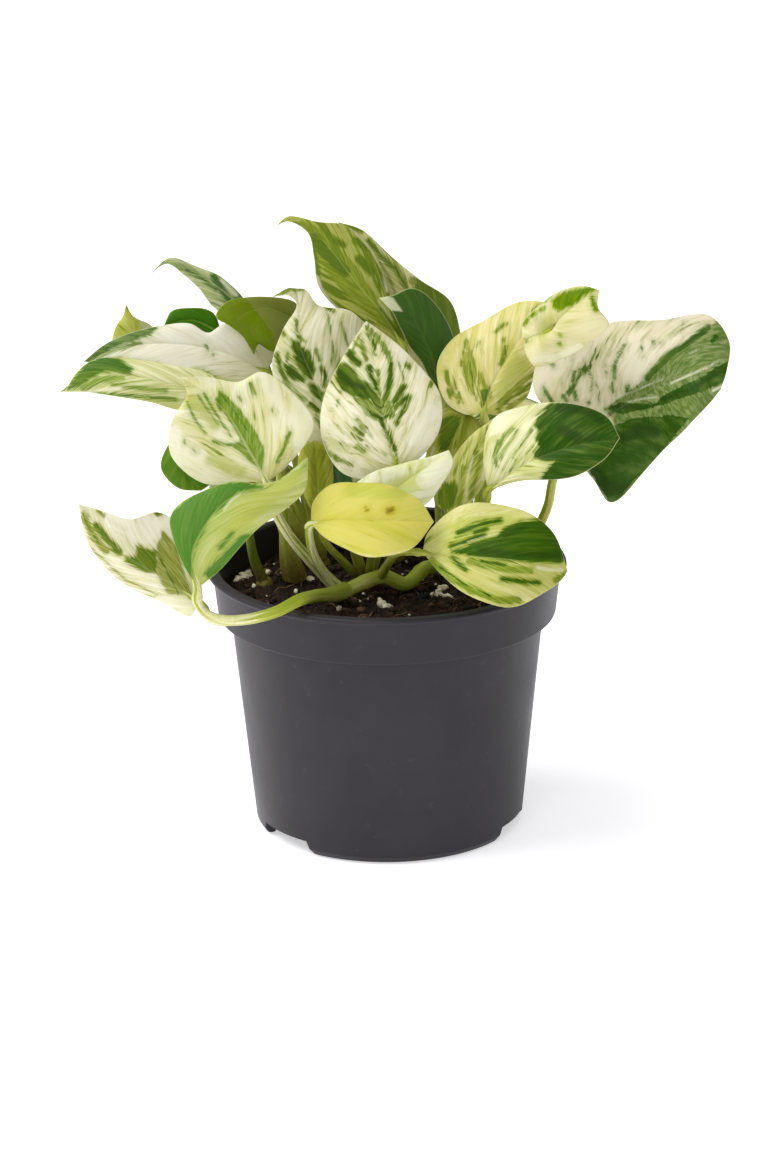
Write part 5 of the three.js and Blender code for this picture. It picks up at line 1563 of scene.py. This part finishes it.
def pot_material():
    material, n = new_material("pot_plastic")
    where = n.place()
    grain = n.noise(where, 1500.0, 4.0)
    cloud = n.noise(where, 34.0)
    scuffs = n.noise(where, 240.0, 4.0)
    rings = n.math("SINE", n.times(n.part(where, "Z"), 5200.0))
    colour = n.mix(n.step(cloud, 0.35, 0.65), "262429", "2d2b31")
    colour = n.over(colour, n.step(scuffs, 0.62, 0.8, 0.0, 0.3), "4b4951")
    colour = n.over(colour, n.step(grain, 0.35, 0.75, 0.0, 0.22), "2f2d33")
    height = n.add(n.times(grain, 0.5), n.times(rings, 0.04))
    roughness = n.add(n.step(cloud, 0.3, 0.7, 0.4, 0.5), n.swing(grain, 0.16))
    n.finish(n.surface(colour, roughness, n.bump(height, 0.00012, 0.4), Specular_IOR_Level=0.22))
    return material


def soil_height(x, y):
    waves = math.sin(0.31 * x + 1.3) * math.cos(0.27 * y) + 0.6 * math.sin(0.53 * x - 0.41 * y)
    lumps = 0
    for scale, layer, size in SOIL_LUMPS:
        lumps += noise.noise(Vector((x * scale, y * scale, layer))) * size
    return SOIL_TOP + SOIL_BUMP * waves + lumps


def make_soil():
    rim = BAND_LOW_RADIUS - WALL - SOIL_GAP
    rings = [
        (WALL_LOW_RADIUS - WALL - SOIL_GAP, FLOOR_TOP + SOIL_GAP),
        (WALL_TOP_RADIUS - WALL - SOIL_GAP, BAND_LOW - STEP_DROP + SOIL_GAP),
        (rim - SOIL_GAP, BAND_LOW + STEP_RISE + SOIL_GAP),
        (rim, SOIL_TOP - 1),
    ]
    radius = rim - SOIL_RING_STEP
    while radius > SOIL_RING_STEP:
        rings.append((radius, soil_height))
        radius -= SOIL_RING_STEP
    body = turned(FLOOR_TOP + SOIL_GAP, rings, soil_height(0, 0), SOIL_SIDES)
    place_piece(new_mesh_object("soil_bed", *body), "soil", soil_material())


def lump(draw, x, y, rise, size, tall=1.0, levels=1):
    """An uneven little stone over a place on the soil, as points and faces."""
    shape = bmesh.new()
    bmesh.ops.create_icosphere(shape, subdivisions=levels, radius=1.0)
    turn = Matrix.Rotation(draw.uniform(0, LUMP_TURN), 3, "Z")
    turn = turn @ Matrix.Rotation(draw.uniform(-LUMP_TILT, LUMP_TILT), 3, "X")
    stretch = [draw.uniform(*limits) for limits in LUMP_STRETCH]
    stretch[-1] *= tall
    shift = Vector((draw.uniform(0, LUMP_SHIFT), draw.uniform(0, LUMP_SHIFT), 0))
    centre = Vector((x, y, soil_height(x, y) + rise))
    points = []
    for vert in shape.verts:
        swell = 1 + LUMP_SWELL * noise.noise(vert.co * LUMP_GRAIN + shift)
        point = turn @ Vector(tuple(c * s * swell * size for c, s in zip(vert.co, stretch)))
        points.append(tuple(point + centre))
    faces = [tuple(v.index for v in face.verts) for face in shape.faces]
    shape.free()
    return points, faces


def join_lumps(name, lumps, material):
    """Many small bodies as one piece, each with its own tone."""
    verts = []
    faces = []
    tone = []
    for order, (points, quads) in enumerate(lumps):
        faces += [tuple(i + len(verts) for i in quad) for quad in quads]
        verts += points
        tone += [(order * 0.618) % 1] * len(points)
    piece = new_mesh_object(name, verts, faces, {"tone": tone})
    piece.data.materials.append(material)
    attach(piece, "root")


def scatter(draw, reach):
    """A random place within reach of the pot's axis."""
    radius = reach * math.sqrt(draw.random())
    return polar(radius, draw.uniform(0, FULL_TURN))


def make_crumb(draw):
    x, y = scatter(draw, CRUMB_REACH)
    size = CRUMB_SMALLEST + CRUMB_SPREAD * draw.random() ** CRUMB_POWER
    return lump(draw, x, y, CRUMB_RISE * size, size)


def make_cluster(draw, u, v, size):
    """One seen place of perlite: a single grain, or a large one that has crumbled to pieces."""
    spot = seen_at(u, v, Z, SOIL_TOP + PERLITE_RISE)
    pieces = CLUSTER_PIECES if size > CLUSTER_LEAST else 1
    for _ in range(pieces):
        turn = draw.uniform(0, FULL_TURN)
        away = CLUSTER_REACH * size * math.sqrt(draw.random()) if pieces > 1 else 0
        x = spot[0] + away * math.cos(turn)
        y = spot[1] + away * math.sin(turn)
        part_size = size * draw.uniform(*CLUSTER_SIZES) if pieces > 1 else size
        inward = min(1.0, (PERLITE_REACH - part_size) / math.hypot(x, y))
        rise = CLUSTER_RISE * part_size + CLUSTER_PILE * (size - part_size) * draw.random()
        yield lump(draw, x * inward, y * inward, rise, part_size, CLUSTER_TALL, PERLITE_LEVELS)


def make_grit(draw):
    x, y = scatter(draw, GRIT_REACH)
    size = draw.uniform(*GRIT_SIZES)
    return lump(draw, x, y, GRIT_RISE * size, size, levels=PERLITE_LEVELS)


def make_fibre(draw):
    x, y = scatter(draw, FIBRE_REACH)
    heading = draw.uniform(0, FULL_TURN)
    length = draw.uniform(*FIBRE_LENGTHS)
    bend = draw.uniform(-FIBRE_BEND, FIBRE_BEND)
    line = []
    for k in range(len(FIBRE_TAPER)):
        t = k / (len(FIBRE_TAPER) - 1)
        ahead, aside = polar(length * t, heading + bend * t)
        pull = min(1, FIBRE_LIMIT / max(math.hypot(x + ahead, y + aside), 1))
        place = ((x + ahead) * pull, (y + aside) * pull)
        line.append((*place, soil_height(*place) + FIBRE_RISE + FIBRE_ARCH * math.sin(math.pi * t)))
    width = draw.uniform(*FIBRE_WIDTHS)
    points, quads = tube(line, [width * taper for taper in FIBRE_TAPER], FIBRE_SIDES)
    return points.tolist(), quads


def make_litter():
    """Crumbs of peat, perlite and fibres that lie on the soil."""
    draw = random.Random(LITTER_SEED)
    join_lumps("soil_crumbs", [make_crumb(draw) for _ in range(CRUMBS)], crumb_material())
    grits = [piece for seen in PERLITE_SEEN for piece in make_cluster(draw, *seen)]
    grits += [make_grit(draw) for _ in range(GRITS)]
    join_lumps("perlite", grits, perlite_material())
    join_lumps("soil_fibres", [make_fibre(draw) for _ in range(FIBRES)], fibre_material())


def soil_material():
    material, n = new_material("peat_bed")
    where = n.place()
    coarse = n.noise(where, 260.0, 5.0, 0.7)
    fine = n.noise(where, 1300.0, 4.0, 0.7)
    colour = n.mix(n.step(coarse, 0.35, 0.68), "15100d", "3b2a1f")
    colour = n.over(colour, n.step(fine, 0.55, 0.75, 0.0, 0.6), "5a4231")
    height = n.add(coarse, n.times(fine, 0.6))
    n.finish(n.surface(colour, 0.93, n.bump(height, 0.0012), Specular_IOR_Level=0.2))
    return material


def crumb_material():
    material, n = new_material("peat_crumb")
    tone = n.field("tone")
    fine = n.noise(n.place(), 1500.0, 4.0, 0.7)
    colour = n.mix(n.step(tone, 0.1, 1.0), "17110e", "4a3426")
    colour = n.over(colour, n.step(tone, 0.93, 0.97), "6d5038")
    colour = n.over(colour, n.step(fine, 0.45, 0.75, 0.0, 0.55), "0e0a08")
    n.finish(n.surface(colour, 0.9, n.bump(fine, 0.0005), Specular_IOR_Level=0.25))
    return material


def perlite_material():
    material, n = new_material("perlite_grit")
    where = n.place()
    cloud = n.noise(where, 420.0, 4.0)
    pores = n.spots(where, 1700.0)["Distance"]
    colour = n.mix(n.step(cloud, 0.35, 0.7), "e9e2cf", "cfc3a2")
    colour = n.over(colour, n.step(cloud, 0.6, 0.75, 0.0, 0.6), "8f7f5f")
    height = n.add(cloud, n.times(pores, 0.5))
    n.finish(n.surface(colour, 0.85, n.bump(height, 0.0006, 0.8), Subsurface_Weight=0.1,
                       Subsurface_Scale=0.001))
    return material


def fibre_material():
    material, n = new_material("peat_fibre")
    streak = n.noise(n.place(), 700.0)
    colour = n.mix(n.field("tone"), "4a3220", "8a6c48")
    colour = n.over(colour, n.step(streak, 0.4, 0.7, 0.0, 0.6), "2a1b12")
    n.finish(n.surface(colour, 0.8, n.bump(streak, 0.0003, 0.6)))
    return material


def make_floor():
    bpy.ops.mesh.primitive_plane_add(size=FLOOR_SIZE)
    floor = bpy.context.object
    floor.name = "floor"
    material, n = new_material("floor_white")
    colour = n.mix(n.noise(n.place(), 6.0, 2.0), "f9f8fb", "fbfafd")
    n.finish(n.surface(colour, 0.9, Specular_IOR_Level=0.1, Emission_Color=FLOOR_GLOW,
                       Emission_Strength=FLOOR_POWER))
    floor.data.materials.append(material)


def add_area_light(name, place, size, power, tone):
    data = bpy.data.lights.new(name, "AREA")
    data.shape = "DISK"
    data.size = size
    data.energy = power
    data.color = tone
    light = add_object(name, data)
    light.location = place
    light.rotation_euler = (Vector(LIGHT_TARGET) - Vector(place)).to_track_quat("-Z", "Y").to_euler()


def make_lights():
    world = bpy.data.worlds.new("studio")
    world.use_nodes = True
    sky = world.node_tree.nodes["Background"]
    sky.inputs[0].default_value = SKY_COLOUR
    sky.inputs[1].default_value = SKY_POWER
    bpy.context.scene.world = world
    add_area_light("key", **KEY_LIGHT)
    add_area_light("front", **FRONT_LIGHT)
    bpy.context.scene.view_settings.view_transform = "Standard"


def make_camera():
    data = bpy.data.cameras.new("photo_view")
    data.sensor_width = SENSOR_MM
    data.lens = VIEW_FOCAL_PX / VIEW_HEIGHT_PX * SENSOR_MM
    data.clip_start, data.clip_end = CLIP_RANGE
    camera = add_object("photo_view", data)
    axes = Matrix((RIGHT, UP, -FORWARD)).transposed().to_4x4()
    camera.matrix_world = Matrix.Translation(EYE * MM) @ axes
    bpy.context.scene.camera = camera


make_camera()
make_lights()
make_floor()
make_pot()
make_soil()
make_litter()
make_stems()
make_blades()
